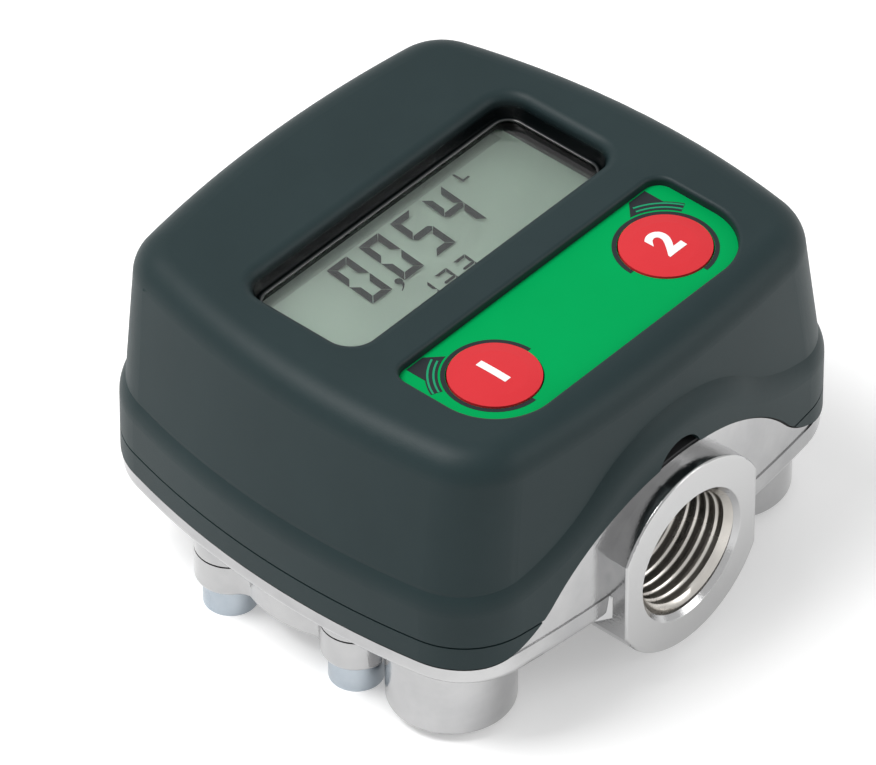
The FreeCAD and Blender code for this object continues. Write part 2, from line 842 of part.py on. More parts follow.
def lobed_block(name, centre_x, radius, z, height):
    """Two-ended block along X about the gear chamber's middle."""
    ends = [cylinder(f"{name}_end_{word}", radius, height, f"{side} * {centre_x}", "chamber_y", z)
            for word, side in SIDES.items()]
    middle = box(f"{name}_middle", f"2 * {centre_x}", f"2 * ({radius})", height, "0", "chamber_y", z)
    return ends + [middle]


def at_lugs(name, radius, z, height):
    """One round bar at each of the four cover screws."""
    return [cylinder(f"{name}_{word}_{end}", radius, height, f"{side} * lug_x",
                     f"chamber_y + {way} * lug_spread_y", z)
            for word, side in SIDES.items() for end, way in (("front", -1), ("rear", 1))]


def at_batteries(name, radius, z, height):
    """One round bar on the axis of each battery."""
    return [cylinder(f"{name}_{word}", radius, height, f"{side} * battery_x", "battery_y", z)
            for word, side in SIDES.items()]


def at_posts(name, radius, z, height):
    """One round bar on each of the four posts that carry the tray."""
    return [cylinder(f"{name}_{word}_{end}", radius, height, f"{side} * {end}_post_x",
                     f"{end}_post_y", z)
            for word, side in SIDES.items() for end in ("front", "rear")]


def at_ports(name, radius, from_y, to_y):
    """One round bar along each port, from an inner to an outer distance."""
    length = f"({to_y}) - ({from_y})"
    return [cylinder(name + "_front", radius, length, y=f"-({to_y})", z="port_axis_z", axis="y"),
            cylinder(name + "_rear", radius, length, y=from_y, z="port_axis_z", axis="y")]


def at_mouths(name):
    """One tapered plug at the mouth of each port."""
    sizes = ("port_mouth_radius", "port_thread_radius", "port_mouth_depth")
    front = cone(name + "_front", *sizes, y="-port_face_y", z="port_axis_z", axis="y")
    rear = cone(name + "_rear", sizes[1], sizes[0], sizes[2], y="port_bore_start_y",
                z="port_axis_z", axis="y")
    return [front, rear]


def make_port_web(name, side):
    """Web under a port boss, wider at its root and below the parting line."""
    body = new_body(name)
    sections = []
    for level, root_x in (("skirt_z", "port_web_root_x"), ("port_axis_z", "port_web_foot_x")):
        section = new_sketch(body, "XY_Plane", level)
        root_y, tip_y = f"{side} * port_web_root_y", f"{side} * port_web_tip_y"
        add_polygon(section, [(f"0 - {root_x}", root_y), ("0 - port_flat_x", tip_y),
                              ("port_flat_x", tip_y), (root_x, root_y)])
        sections.append(section)
    loft(body, "AdditiveLoft", sections)
    return body


def make_shell():
    """Wall and deck of the body: a fine step at the parting line, the top cut to the wave."""
    body = new_body("body_shell")
    foot = new_sketch(body, "XY_Plane", "skirt_z")
    bulged_outline(foot, FOOT_PLAN, "body_inset")
    block = pad(body, foot, "port_axis_z - skirt_z")
    rounded(body, block, "skirt_fillet", at_height(size("skirt_z")))
    wall = new_sketch(body, "XY_Plane", "port_axis_z")
    bulged_outline(wall, FOOT_PLAN, "body_inset", "parting_step")
    pad(body, wall, "crest_z - port_axis_z")
    hollow = new_sketch(body, "XY_Plane", "deck_z")
    bulged_outline(hollow, FOOT_PLAN, "body_inset", "body_wall")
    pocket(body, hollow, "wave_crest_rise", reverse=True)
    wave = new_sketch(body, "XZ_Plane")
    wave_outline(wave, "deck_z", "wave_crest_rise", "wave_crest_radius", "top_z")
    clear_through(body, wave)
    return body


def make_port_bosses():
    """Round bosses with a spanner flat on each side."""
    bosses = at_ports("port_boss", "port_boss_radius", "port_tube_start_y", "port_face_y")
    flats = box("port_flats", "2 * port_flat_x", "2 * port_face_y", "4 * port_boss_radius", z="0")
    blocks = common("port_blocks", fuse("port_boss_pair", bosses), flats)
    return softened("port_bosses", blocks, "port_rim_fillet", at_port_faces)


def at_port_faces(edge):
    """Test for edges that lie on the face of either port."""
    bounds = edge.BoundBox
    face = size("port_face_y")
    return min(abs(bounds.YMin - face), abs(bounds.YMax + face)) < EDGE_TOLERANCE


def make_meter_body():
    """Die-cast body: shell, gear chamber, ports, battery tubes and posts in one piece."""
    solids = [make_shell(), make_port_bosses()]
    solids += [make_port_web(f"port_web_{end}", way) for end, way in (("front", -1), ("rear", 1))]
    solids += at_ports("port_tube", "port_tube_radius", "port_tube_end_y", "port_tube_start_y")
    solids += at_ports("passage_tube", "port_axis_rise", "0", "port_tube_start_y")
    solids += lobed_block("chamber_block", "gear_pitch_radius", "block_radius", "joint_z",
                          "roof_z - joint_z")
    foot = lobed_block("chamber_foot", "cover_plate_centre_x", "cover_plate_radius", "joint_z",
                       "skirt_rise + skirt_fillet")
    foot += at_lugs("lug_boss", "lug_radius", "joint_z + lug_gap",
                    "skirt_rise + skirt_fillet - lug_gap")
    solids += [softened("body_webs", fuse("body_foot", foot), "cover_root_fillet", at_lug_roots)]
    bosses = at_batteries("battery_boss_bar", "battery_boss_radius", "battery_boss_rise",
                          "skirt_z + skirt_fillet - battery_boss_rise")
    low_edge = at_height(size("battery_boss_rise"))
    solids += [softened(f"battery_boss_{word}", boss, "battery_boss_fillet", low_edge)
               for word, boss in zip(SIDES, bosses)]
    solids += at_batteries("battery_tube", "battery_tube_radius", "skirt_z",
                           "battery_tube_top - skirt_z")
    solids += at_posts("tray_post", "post_radius", "deck_z", "tray_floor_z - deck_z")
    holes = at_ports("port_bore", "port_thread_radius", "port_bore_end_y", "port_bore_start_y")
    holes += at_mouths("port_mouth")
    holes += at_ports("strainer_seat", "strainer_radius + fit_clearance",
                      "port_bore_end_y - strainer_thickness", "port_bore_end_y")
    holes += at_ports("passage", "passage_radius", "passage_end_y", "port_bore_end_y")
    holes += [cylinder(f"chamber_{word}", "chamber_radius", "chamber_depth",
                       f"{side} * gear_pitch_radius", "chamber_y", "joint_z")
              for word, side in SIDES.items()]
    holes += [cylinder(f"shaft_seat_{word}", "shaft_radius + shaft_seat_clearance",
                       "shaft_seat_in_roof", f"{side} * gear_pitch_radius", "chamber_y",
                       "chamber_top_z")
              for word, side in SIDES.items()]
    holes += at_lugs("cover_screw_hole", "screw_radius + fit_clearance", "joint_z",
                     "screw_length - lug_height + screw_clearance")
    holes += at_posts("tray_screw_hole", "tray_screw_radius + fit_clearance",
                      "tray_floor_z - tray_screw_length",
                      "tray_screw_length")
    holes += at_batteries("battery_cap_bore", "battery_cap_bore_radius", "battery_boss_rise",
                          "battery_cap_height")
    holes += at_batteries("battery_bore", "battery_bore_radius", "battery_boss_rise",
                          "battery_tube_top - battery_boss_rise")
    holes += [make_seal_ring("seal_groove", "seal_inner_radius", "seal_outer_radius", "seal_depth")]
    return cut("meter_body", fuse("body_casting", solids), holes)


def make_seal_ring(name, inner, outer, height):
    """Two-ended ring that lies round the gear chamber on the joint plane."""
    rim = fuse(name + "_rim", lobed_block(name + "_rim_part", "gear_pitch_radius", outer,
                                          "joint_z", height))
    inside = fuse(name + "_inside", lobed_block(name + "_inside_part", "gear_pitch_radius", inner,
                                                "joint_z", height))
    return cut(name, rim, [inside])


def make_chamber_cover():
    """Two-ended cover with four lugs, cut back round the battery bosses."""
    solids = lobed_block("cover_plate", "cover_plate_centre_x", "cover_plate_radius",
                         "screw_head_height", "lug_height")
    solids += at_lugs("cover_lug", "lug_radius", "screw_head_height", "lug_height")
    holes = at_lugs("cover_lug_hole", "screw_radius + screw_clearance", "screw_head_height",
                    "lug_height")
    holes += at_batteries("boss_relief", "boss_clear_radius", "0", "joint_z")
    holes += [cylinder(f"cover_shaft_seat_{word}", "shaft_radius + shaft_seat_clearance",
                       "shaft_seat_in_cover", f"{side} * gear_pitch_radius", "chamber_y",
                       "joint_z - shaft_seat_in_cover")
              for word, side in SIDES.items()]
    plate = fuse("chamber_cover_plate", solids)
    webbed = softened("chamber_cover_webs", plate, "cover_root_fillet", at_lug_roots)
    soft = softened("chamber_cover_soft", webbed, "cover_edge_fillet",
                    at_height(size("screw_head_height")))
    return cut("chamber_cover", soft, holes)


def at_lug_roots(edge):
    """Test for upright edges beside the lugs."""
    bounds = edge.BoundBox
    upright = max(bounds.XLength, bounds.YLength) < EDGE_TOLERANCE
    beside = abs(bounds.XMin) > size("lug_x") - 2 * size("lug_radius")
    return upright and beside


def make_chamber_seal():
    """Flat rubber ring in the groove of the body."""
    return make_seal_ring("chamber_seal", "seal_inner_radius + fit_clearance",
                          "seal_outer_radius - fit_clearance", "seal_depth - fit_clearance")


def make_chamber_screws():
    """Four socket cap screws that hold the chamber cover."""
    screws = []
    for word, side in SIDES.items():
        for end, way in (("front", -1), ("rear", 1)):
            name = f"screw_{word}_{end}"
            x, y = f"{side} * lug_x", f"chamber_y + {way} * lug_spread_y"
            head = cylinder(name + "_head", "screw_head_radius", "screw_head_height", x, y)
            shank = cylinder(name + "_shank", "screw_radius", "screw_length", x, y,
                             "screw_head_height")
            socket = document.addObject("Part::Prism", name + "_socket")
            socket.Polygon = 6
            bind(socket, Circumradius="screw_socket_width / hexagon_factor", Height="screw_socket_depth")
            place(socket, x, y)
            screws.append(cut(name, fuse(name + "_solid", [head, shank]), [socket]))
    return group("chamber_screws", screws)


# ---------------------------------------------------------------- gears


def make_gear(name, side, first_gap_angle):
    """Spur gear with involute flanks; a tooth gap stands at the first gap angle."""
    body = new_body(name)
    blank = new_sketch(body, "XY_Plane")
    add_circle(blank, "0", "0", "gear_tip_radius")
    add_circle(blank, "0", "0", "shaft_radius + shaft_running_clearance")
    pad(body, blank, "gear_height")
    gap = new_sketch(body, "XY_Plane")
    draw_tooth_gap(gap, first_gap_angle)
    first_gap = pocket(body, gap, "gear_height", reverse=True)
    document.recompute()
    pattern = body.newObject("PartDesign::PolarPattern", name + "_gaps")
    pattern.Originals = [first_gap]
    pattern.Axis = (blank, ["N_Axis"])
    pattern.Angle = 360
    bind(pattern, Occurrences="gear_teeth")
    body.Tip = pattern
    pockets = new_sketch(body, "XY_Plane", "gear_height")
    for way in (-1, 1):
        add_circle(pockets, f"{way} * magnet_orbit", "0", "magnet_radius + fit_clearance")
    pocket(body, pockets, "magnet_height")
    place(body, f"{side} * gear_pitch_radius", "chamber_y", "joint_z + gear_side_clearance")
    return body


def draw_tooth_gap(sketch, middle_angle):
    """Outline between two teeth: two flanks, the root and an arc outside the tips."""
    pitch_radius = size("gear_pitch_radius")
    pressure = math.radians(size("gear_pressure_angle"))
    base_radius = pitch_radius * math.cos(pressure)
    root_radius = size("gear_root_radius")
    outer_radius = size("gear_tip_radius") + size("gear_module") / 2
    half_gap = math.pi / (2 * size("gear_teeth")) + size("gear_backlash") / (2 * pitch_radius)
    involute = math.tan(pressure) - pressure
    turn = Rotation(Vector(0, 0, 1), middle_angle - 90)

    def flank(way, radius):
        roll = math.sqrt(max((radius / base_radius) ** 2 - 1, 0))
        angle = way * (half_gap - involute + roll - math.atan(roll))
        return turn.multVec(Vector(radius * math.sin(angle), radius * math.cos(angle), 0))

    middle_radius = (base_radius + outer_radius) / 2
    edges = [
        Part.Arc(flank(1, base_radius), flank(1, middle_radius), flank(1, outer_radius)),
        Part.Arc(flank(1, outer_radius), turn.multVec(Vector(0, outer_radius, 0)),
                 flank(-1, outer_radius)),
        Part.Arc(flank(-1, outer_radius), flank(-1, middle_radius), flank(-1, base_radius)),
    ]
    narrow = (half_gap - involute)
    root = {way: turn.multVec(Vector(way * root_radius * math.sin(narrow),
                                     root_radius * math.cos(narrow), 0)) for way in (-1, 1)}
    edges.append(Part.LineSegment(flank(-1, base_radius), root[-1]))
    edges.append(Part.Arc(root[-1], turn.multVec(Vector(0, root_radius, 0)), root[1]))
    edges.append(Part.LineSegment(root[1], flank(1, base_radius)))
    for edge in edges:
        curve = edge if isinstance(edge, Part.LineSegment) else edge.toShape().Curve.trim(
            *edge.toShape().ParameterRange)
        index = sketch.addGeometry(curve, False)
        sketch.addConstraint(Sketcher.Constraint("Block", index))


def make_magnets(name, side):
    """Two small magnets in the pockets of one gear."""
    seat = "joint_z + gear_side_clearance + gear_height - magnet_height"
    return group(name, [cylinder(f"{name}_{i}", "magnet_radius", "magnet_height",
                                 f"{side} * gear_pitch_radius + {way} * magnet_orbit",
                                 "chamber_y", seat)
                        for i, way in enumerate((-1, 1))])


def make_shaft(name, side):
    """Ground pin that the gear runs on, held in the cover and in the roof."""
    foot = "joint_z - shaft_seat_in_cover + fit_clearance"
    length = "shaft_seat_in_cover + chamber_depth + shaft_seat_in_roof - 2 * fit_clearance"
    return cylinder(name, "shaft_radius", length, f"{side} * gear_pitch_radius", "chamber_y", foot)


def make_strainer():
    """Round strainer plate with a hexagonal field of holes at the inlet port's bottom."""
    y = "-port_bore_end_y"
    plate = cylinder("strainer_plate", "strainer_radius", "strainer_thickness", y=y,
                     z="port_axis_z", axis="y")
    holes = []
    rows = 2
    for row_number in range(-rows, rows + 1):
        count = 2 * rows + 1 - abs(row_number)
        for i in range(count):
            x = f"({i} - ({count} - 1) / 2) * strainer_hole_pitch"
            z = f"port_axis_z + {row_number} * strainer_hole_pitch * strainer_row_factor"
            holes.append(cylinder(f"strainer_hole_{len(holes)}", "strainer_hole_radius",
                                  "strainer_thickness", x, y, z, "y"))
    return cut("inlet_strainer", plate, holes)


# ---------------------------------------------------------------- batteries


def make_battery(name, side):
    """Small round cell with its raised pole on top."""
    corners = [("0", "0"), ("battery_radius", "0"), ("battery_radius", "battery_length"),
               ("battery_nub_radius", "battery_length"),
               ("battery_nub_radius", "battery_length + battery_nub_height"),
               ("0", "battery_length + battery_nub_height")]
    return turned(name, corners, f"{side} * battery_x", "battery_y", "battery_z")


def make_battery_cap(name, side):
    """Screw plug with a seal groove and a coin slot."""
    groove_low = "battery_cap_height * battery_groove_share"
    groove_high = f"{groove_low} + battery_seal_section + 2 * fit_clearance"
    groove_radius = "battery_cap_radius - battery_seal_section"
    corners = [("0", "0"), ("battery_cap_radius", "0"), ("battery_cap_radius", groove_low),
               (groove_radius, groove_low), (groove_radius, groove_high),
               ("battery_cap_radius", groove_high), ("battery_cap_radius", "battery_cap_height"),
               ("0", "battery_cap_height")]
    body = turned(name, corners, f"{side} * battery_x", "battery_y", "battery_boss_rise")
    slot = new_sketch(body, "XY_Plane")
    half_length = "battery_cap_radius * battery_cap_slot_share"
    half_width = "battery_cap_slot_width / 2"
    add_polygon(slot, [(f"-{half_length}", f"-{half_width}"), (half_length, f"-{half_width}"),
                       (half_length, half_width), (f"-{half_length}", half_width)])
    pocket(body, slot, "battery_cap_slot_depth", reverse=True)
    return body


def make_cap_seal(name, side):
    """Rubber ring in the groove of a battery cap."""
    low = "battery_cap_height * battery_groove_share + fit_clearance"
    high = low + " + battery_seal_section"
    inner, outer = "battery_cap_radius - battery_seal_section + fit_clearance", "battery_cap_radius"
    return turned(name, [(inner, low), (outer, low), (outer, high), (inner, high)],
                  f"{side} * battery_x", "battery_y", "battery_boss_rise")


def make_battery_spring(name, side):
    """Conical contact spring between the cap and the cell."""
    x, y = f"{side} * battery_x", "battery_y"
    foot = "battery_boss_rise + battery_cap_height + battery_spring_wire / 2"
    spine = document.addObject("Part::Helix", name + "_spine")
    bind(spine, Pitch="(battery_spring_height - battery_spring_wire) / battery_spring_turns",
         Height="battery_spring_height - battery_spring_wire", Radius="battery_spring_radius",
         Angle="0 - battery_spring_cone")
    place(spine, x, y, foot)
    wire = document.addObject("Part::Circle", name + "_wire")
    bind(wire, Radius="battery_spring_wire / 2 * battery_spring_fullness")
    place(wire, f"{x} + battery_spring_radius", y, foot, "y")
    spring = document.addObject("Part::Sweep", name)
    spring.Sections = [wire]
    spring.Spine = (spine, [])
    spring.Solid = True
    spring.Frenet = True
    return spring


def make_battery_contact(name, side):
    """Bent strip that joins the cell's pole to the board."""
    x, y = f"{side} * battery_x", "battery_y"
    blade_z = "battery_top_z + contact_gap"
    blade = box(name + "_blade", "contact_width", "contact_width", "contact_thickness", x, y, blade_z)
    leg = box(name + "_leg", "contact_width", "contact_thickness",
              f"board_z - ({blade_z})", x, f"{y} + (contact_width - contact_thickness) / 2", blade_z)
    return fuse(name, [blade, leg])


# ---------------------------------------------------------------- tray, board and display


def plan_slab(name, half_width, front, rear, radius, z, height):
    """Flat slab with round corners."""
    body = new_body(name)
    outline = new_sketch(body, "XY_Plane", z)
    window_outline(outline, half_width, front, rear, radius)
    pad(body, outline, height)
    return body


def make_display_tray():
    """Moulded tray: a floor on the posts, a rim under the board, corner posts for its screws."""
    outer = plan_slab("tray_block", "tray_half_width", "tray_front_y", "tray_rear_y",
                      "tray_corner_radius", "tray_floor_z", "tray_height")
    inner = plan_slab("tray_hollow", "tray_half_width - tray_wall", "tray_front_y + tray_wall",
                      "tray_rear_y - tray_wall", "tray_corner_radius - tray_wall",
                      "tray_floor_z + tray_floor_thickness", "tray_height")
    rim = cut("tray_rim", outer, [inner])
    posts = at_board_screws("board_post", "board_post_radius", "tray_floor_z",
                            "tray_height")
    holes = at_posts("tray_hole", "tray_screw_radius + screw_clearance", "tray_floor_z",
                     "tray_floor_thickness")
    holes += at_batteries("tray_tube_relief", "battery_tube_radius + tray_tube_clearance",
                          "tray_floor_z", "battery_tube_top + tray_tube_clearance - tray_floor_z")
    holes += at_batteries("tray_cell_relief", "battery_bore_radius", "tray_floor_z", "tray_height")
    holes += at_board_screws("board_screw_hole", "board_screw_radius + fit_clearance",
                             "board_z - board_screw_length + board_thickness",
                             "board_screw_length")
    holes += [box("header_opening", "header_pitch * (header_pins + 1)", "2 * header_pitch",
                  "tray_height", "0", "header_y", "tray_floor_z")]
    return cut("display_tray", fuse("tray_solid", [rim] + posts), holes)


def at_board_screws(name, radius, z, height):
    """One round bar at each of the four board screws."""
    return [cylinder(f"{name}_{word}_{end}", radius, height, f"{side} * board_screw_{end}_x",
                     f"board_screw_{end}_y", z)
            for word, side in SIDES.items() for end in ("front", "rear")]


def make_tray_screws():
    """Four pan head screws through the tray into the posts."""
    heads = at_posts("tray_screw_head", "tray_screw_head_radius",
                     "tray_floor_z + tray_floor_thickness", "tray_screw_head_height")
    shanks = at_posts("tray_screw_shank", "tray_screw_radius",
                      "tray_floor_z + tray_floor_thickness - tray_screw_length + fit_clearance",
                      "tray_screw_length - fit_clearance")
    return group("tray_screws", [fuse(f"tray_screw_{i}", list(pair))
                                 for i, pair in enumerate(zip(heads, shanks))])


def make_circuit_board():
    """Board on the tray's rim, with holes for its screws."""
    slab = plan_slab("board_slab", "tray_half_width - board_margin", "tray_front_y + board_margin",
                     "tray_rear_y - board_margin", "tray_corner_radius - board_margin",
                     "board_z", "board_thickness")
    holes = at_board_screws("board_hole", "board_screw_radius + fit_clearance", "board_z",
                            "board_thickness")
    return cut("circuit_board", slab, holes)


def make_board_screws():
    """Four small screws that hold the board on the tray."""
    heads = at_board_screws("board_screw_head", "board_screw_head_radius", "board_top_z",
                            "board_screw_head_height")
    shanks = at_board_screws("board_screw_shank", "board_screw_radius",
                             "board_top_z - board_screw_length + fit_clearance",
                             "board_screw_length - fit_clearance")
    return group("board_screws", [fuse(f"board_screw_{i}", list(pair))
                                  for i, pair in enumerate(zip(heads, shanks))])


def make_board_chips():
    """Controller, driver and capacitor on the board between the switches."""
    chips = [box("controller", "controller_width", "controller_width", "controller_height",
                 "0", "controller_y", "board_top_z")]
    chips += [box(name, f"{name}_length", f"{name}_width", f"{name}_height", f"{name}_x",
                  f"{name}_y", "board_top_z")
              for name in ("driver", "memory")]
    return group("board_chips", chips)


def make_key_switches():
    """Two push switches under the buttons."""
    switches = []
    for word, side in SIDES.items():
        housing = box(f"switch_housing_{word}", "switch_width", "switch_width", "switch_height",
                      f"{side} * button_x", "button_y", "board_top_z")
        well = cylinder(f"switch_well_{word}", "switch_well_radius", "switch_well_depth",
                        f"{side} * button_x", "button_y", "switch_top_z - switch_well_depth")
        switches.append(cut(f"switch_{word}", housing, [well]))
    return group("key_switches", switches)


def make_switch_stem(name, side):
    """Stem that the button presses into its switch."""
    return cylinder(name, "stem_radius", "stem_length", f"{side} * button_x", "button_y",
                    "plunger_z - stem_length")


def make_button(name, side):
    """Round cap with a shallow dome, a flange that keeps it in and a plunger."""
    body = new_body(name)
    sketch = new_sketch(body, "XZ_Plane")
    flange_top = "ceiling_z - button_clearance - plunger_z"
    flange_low = f"{flange_top} - button_flange_thickness"
    edge = "label_z + label_thickness + button_rise - plunger_z"
    corners = [("0", "0"), ("plunger_radius", "0"), ("plunger_radius", flange_low),
               ("button_radius + button_flange_width", flange_low),
               ("button_radius + button_flange_width", flange_top),
               ("button_radius", flange_top), ("button_radius", edge),
               ("button_radius * dome_shoulder_share", f"{edge} + button_dome * dome_shoulder_rise"),
               ("button_radius * dome_crown_share", f"{edge} + button_dome * dome_crown_rise"),
               ("0", f"{edge} + button_dome")]
    add_polygon(sketch, corners)
    spin = body.newObject("PartDesign::Revolution", name + "_spin")
    spin.Profile = sketch
    spin.ReferenceAxis = (sketch, ["V_Axis"])
    spin.Angle = 360.0
    return place(body, f"{side} * button_x", "button_y", "plunger_z")


def make_lcd_strips():
    """Two rubber strips that join the board to the display glass."""
    strips = []
    for end, y in (("front", "lcd_front_y + strip_width"), ("rear", "lcd_rear_y - strip_width")):
        strips.append(box(f"lcd_strip_{end}", "2 * strip_half_length", "strip_width",
                          "lcd_z - board_top_z", "0", y, "board_top_z"))
    return group("lcd_strips", strips)


def make_keypad_label():
    """Printed overlay in the recess, with two round holes for the buttons."""
    body = new_body("keypad_label")
    outline = new_sketch(body, "XY_Plane", "label_z")
    label_outline(outline, "fit_clearance")
    pad(body, outline, "label_thickness")
    holes = new_sketch(body, "XY_Plane", "label_z")
    for side in (-1, 1):
        add_circle(holes, f"{side} * button_x", "button_y", "button_radius + button_clearance")
    pocket(body, holes, "label_thickness", reverse=True)
    return body


def make_sensor_board():
    """Small board on the chamber roof over the paths of the magnets."""
    return box("sensor_board", "sensor_board_length", "sensor_board_width",
               "sensor_board_thickness", "0", "chamber_y", "roof_z")


def make_pulse_sensors():
    """One magnetic sensor over each gear's ring of magnets."""
    return group("pulse_sensors", [
        box(f"pulse_sensor_{word}", "sensor_chip_width", "sensor_chip_width", "sensor_chip_height",
            f"{side} * sensor_x", "chamber_y", "roof_z + sensor_board_thickness")
        for word, side in SIDES.items()])


def make_sensor_header():
    """Row of pins from the sensor board up to the main board."""
    foot = "roof_z + sensor_board_thickness"
    return group("sensor_header", [
        box(f"header_pin_{i}", "header_pin_width", "header_pin_width", f"board_z - ({foot})",
            f"({i} - (header_pins - 1) / 2) * header_pitch", "header_y", foot)
        for i in range(int(size("header_pins")))])


def make_cover_gasket():
    """Rubber strip that follows the wave between the body and the cover."""
    body = new_body("gasket_wave")
    outline = new_sketch(body, "XY_Plane", "skirt_z")
    bulged_outline(outline, FOOT_PLAN, "gasket_inset")
    bulged_outline(outline, FOOT_PLAN, "gasket_inset", "gasket_width")
    pad(body, outline, "crest_z")
    over = new_sketch(body, "XZ_Plane")
    wave_outline(over, "gasket_top_z", "wave_crest_rise", "wave_crest_radius", "top_z")
    clear_through(body, over)
    under = new_sketch(body, "XZ_Plane")
    wave_outline(under, "gasket_low_z", "wave_crest_rise", "wave_crest_radius", "screw_head_height")
    clear_through(body, under)
    return body


# ---------------------------------------------------------------- the whole meter


nodes = {
    "meter_body": make_meter_body(),
    "chamber_cover": make_chamber_cover(),
    "chamber_seal": make_chamber_seal(),
    "chamber_screws": make_chamber_screws(),
    "inlet_strainer": make_strainer(),
    "outer_cover": make_outer_cover(),
    "cover_gasket": make_cover_gasket(),
    "display_tray": make_display_tray(),
    "tray_screws": make_tray_screws(),
    "circuit_board": make_circuit_board(),
    "board_screws": make_board_screws(),
    "board_chips": make_board_chips(),
    "key_switches": make_key_switches(),
    "sensor_board": make_sensor_board(),
    "pulse_sensors": make_pulse_sensors(),
    "sensor_header": make_sensor_header(),
    "lcd_strips": make_lcd_strips(),
    "lcd_panel": box("lcd_panel", "2 * lcd_half_width", "lcd_rear_y - lcd_front_y",
                     "lcd_thickness", "0", "(lcd_rear_y + lcd_front_y) / 2", "lcd_z"),
    "keypad_label": make_keypad_label(),
}
bezel_frame = plan_slab("bezel_frame", "lcd_half_width", "lcd_front_y", "lcd_rear_y",
                        "bezel_frame_radius", "lcd_top_z", "bezel_thickness")
bezel_opening = plan_slab("bezel_opening", "bezel_half_width", "bezel_front_y", "bezel_rear_y",
                          "bezel_opening_radius", "lcd_top_z", "bezel_thickness")
nodes["lcd_bezel"] = cut("lcd_bezel", bezel_frame, [bezel_opening])
nodes["display_lens"] = plan_slab("display_lens", "window_half_width + lens_margin",
                                  "window_front_y - lens_margin", "window_rear_y + lens_margin",
                                  "window_corner_radius", "lens_z", "lens_thickness")
for side_word, side_sign in SIDES.items():
    # The right gear stands half a pitch further round, so that a tooth meets a gap.
    gap_angle = 0.0 if side_sign < 0 else 180.0 - 180.0 / size("gear_teeth")
    nodes["gear_" + side_word] = make_gear("gear_" + side_word, side_sign, gap_angle)
    makers = {
        "gear_magnets": make_magnets, "gear_shaft": make_shaft, "battery": make_battery,
        "battery_cap": make_battery_cap, "battery_cap_seal": make_cap_seal,
        "battery_spring": make_battery_spring, "battery_contact": make_battery_contact,
        "button": make_button, "switch_stem": make_switch_stem,
    }
    for stem, maker in makers.items():
        node_name = f"{stem}_{side_word}"
        nodes[node_name] = maker(node_name, side_sign)

document.recompute()
for item in document.Objects:
    if "Invalid" in item.State or "Error" in item.State:
        raise RuntimeError(f"{item.Name} failed: {item.State}")
for node_name, item in nodes.items():
    item.Label = node_name
    if item.Label != node_name:
        raise RuntimeError(f"the name {node_name} is taken")
    if item.Shape.isNull() or not item.Shape.isValid() or not item.Shape.Solids:
        raise RuntimeError(f"{node_name} has no valid solid")

os.makedirs("parts", exist_ok=True)
for node_name, item in nodes.items():
    item.Shape.exportStep(f"parts/{node_name}.step")
    solids = item.Shape.Solids
    print(f"{node_name}: {len(solids)} solid(s), {item.Shape.Volume:.1f} mm3")
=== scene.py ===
"""Inline digital flow meter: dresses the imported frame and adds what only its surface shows."""

from __future__ import annotations

import json
import logging
import math
from collections.abc import Callable
from dataclasses import dataclass
from enum import Enum

import bpy
from mathutils import Matrix, Vector

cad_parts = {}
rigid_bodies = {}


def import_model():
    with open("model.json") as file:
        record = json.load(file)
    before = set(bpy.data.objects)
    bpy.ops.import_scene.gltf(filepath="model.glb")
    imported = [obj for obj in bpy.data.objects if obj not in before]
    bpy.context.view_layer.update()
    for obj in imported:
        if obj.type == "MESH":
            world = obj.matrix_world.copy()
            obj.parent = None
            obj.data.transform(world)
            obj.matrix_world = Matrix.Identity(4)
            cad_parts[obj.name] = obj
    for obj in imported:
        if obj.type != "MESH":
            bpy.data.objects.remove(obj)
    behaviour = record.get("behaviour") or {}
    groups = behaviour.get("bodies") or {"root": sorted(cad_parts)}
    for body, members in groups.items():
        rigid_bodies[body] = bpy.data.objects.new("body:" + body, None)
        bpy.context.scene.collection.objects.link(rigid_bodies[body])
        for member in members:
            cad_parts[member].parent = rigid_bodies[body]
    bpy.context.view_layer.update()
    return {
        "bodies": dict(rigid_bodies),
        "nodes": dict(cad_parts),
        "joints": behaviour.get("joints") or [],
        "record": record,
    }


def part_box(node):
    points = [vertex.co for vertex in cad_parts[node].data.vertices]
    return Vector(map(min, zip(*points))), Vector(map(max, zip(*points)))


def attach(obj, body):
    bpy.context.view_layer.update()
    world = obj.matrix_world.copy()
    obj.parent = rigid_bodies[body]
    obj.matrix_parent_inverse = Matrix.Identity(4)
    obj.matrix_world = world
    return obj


LOG = logging.getLogger("flow_meter")
MM = 0.001
WELD = 0.001 * MM
SMOOTH_ANGLE = math.radians(35.0)


class Maths(Enum):
    """Operations of the Math node that the finishes use."""

    ADD = "ADD"
    SUBTRACT = "SUBTRACT"
    MULTIPLY = "MULTIPLY"
    POWER = "POWER"
    SINE = "SINE"
    ABSOLUTE = "ABSOLUTE"
    MAXIMUM = "MAXIMUM"


class Element(Enum):
    """What a selection in edit mode is made of."""

    CORNER = "VERT"
    EDGE = "EDGE"
    FACE = "FACE"


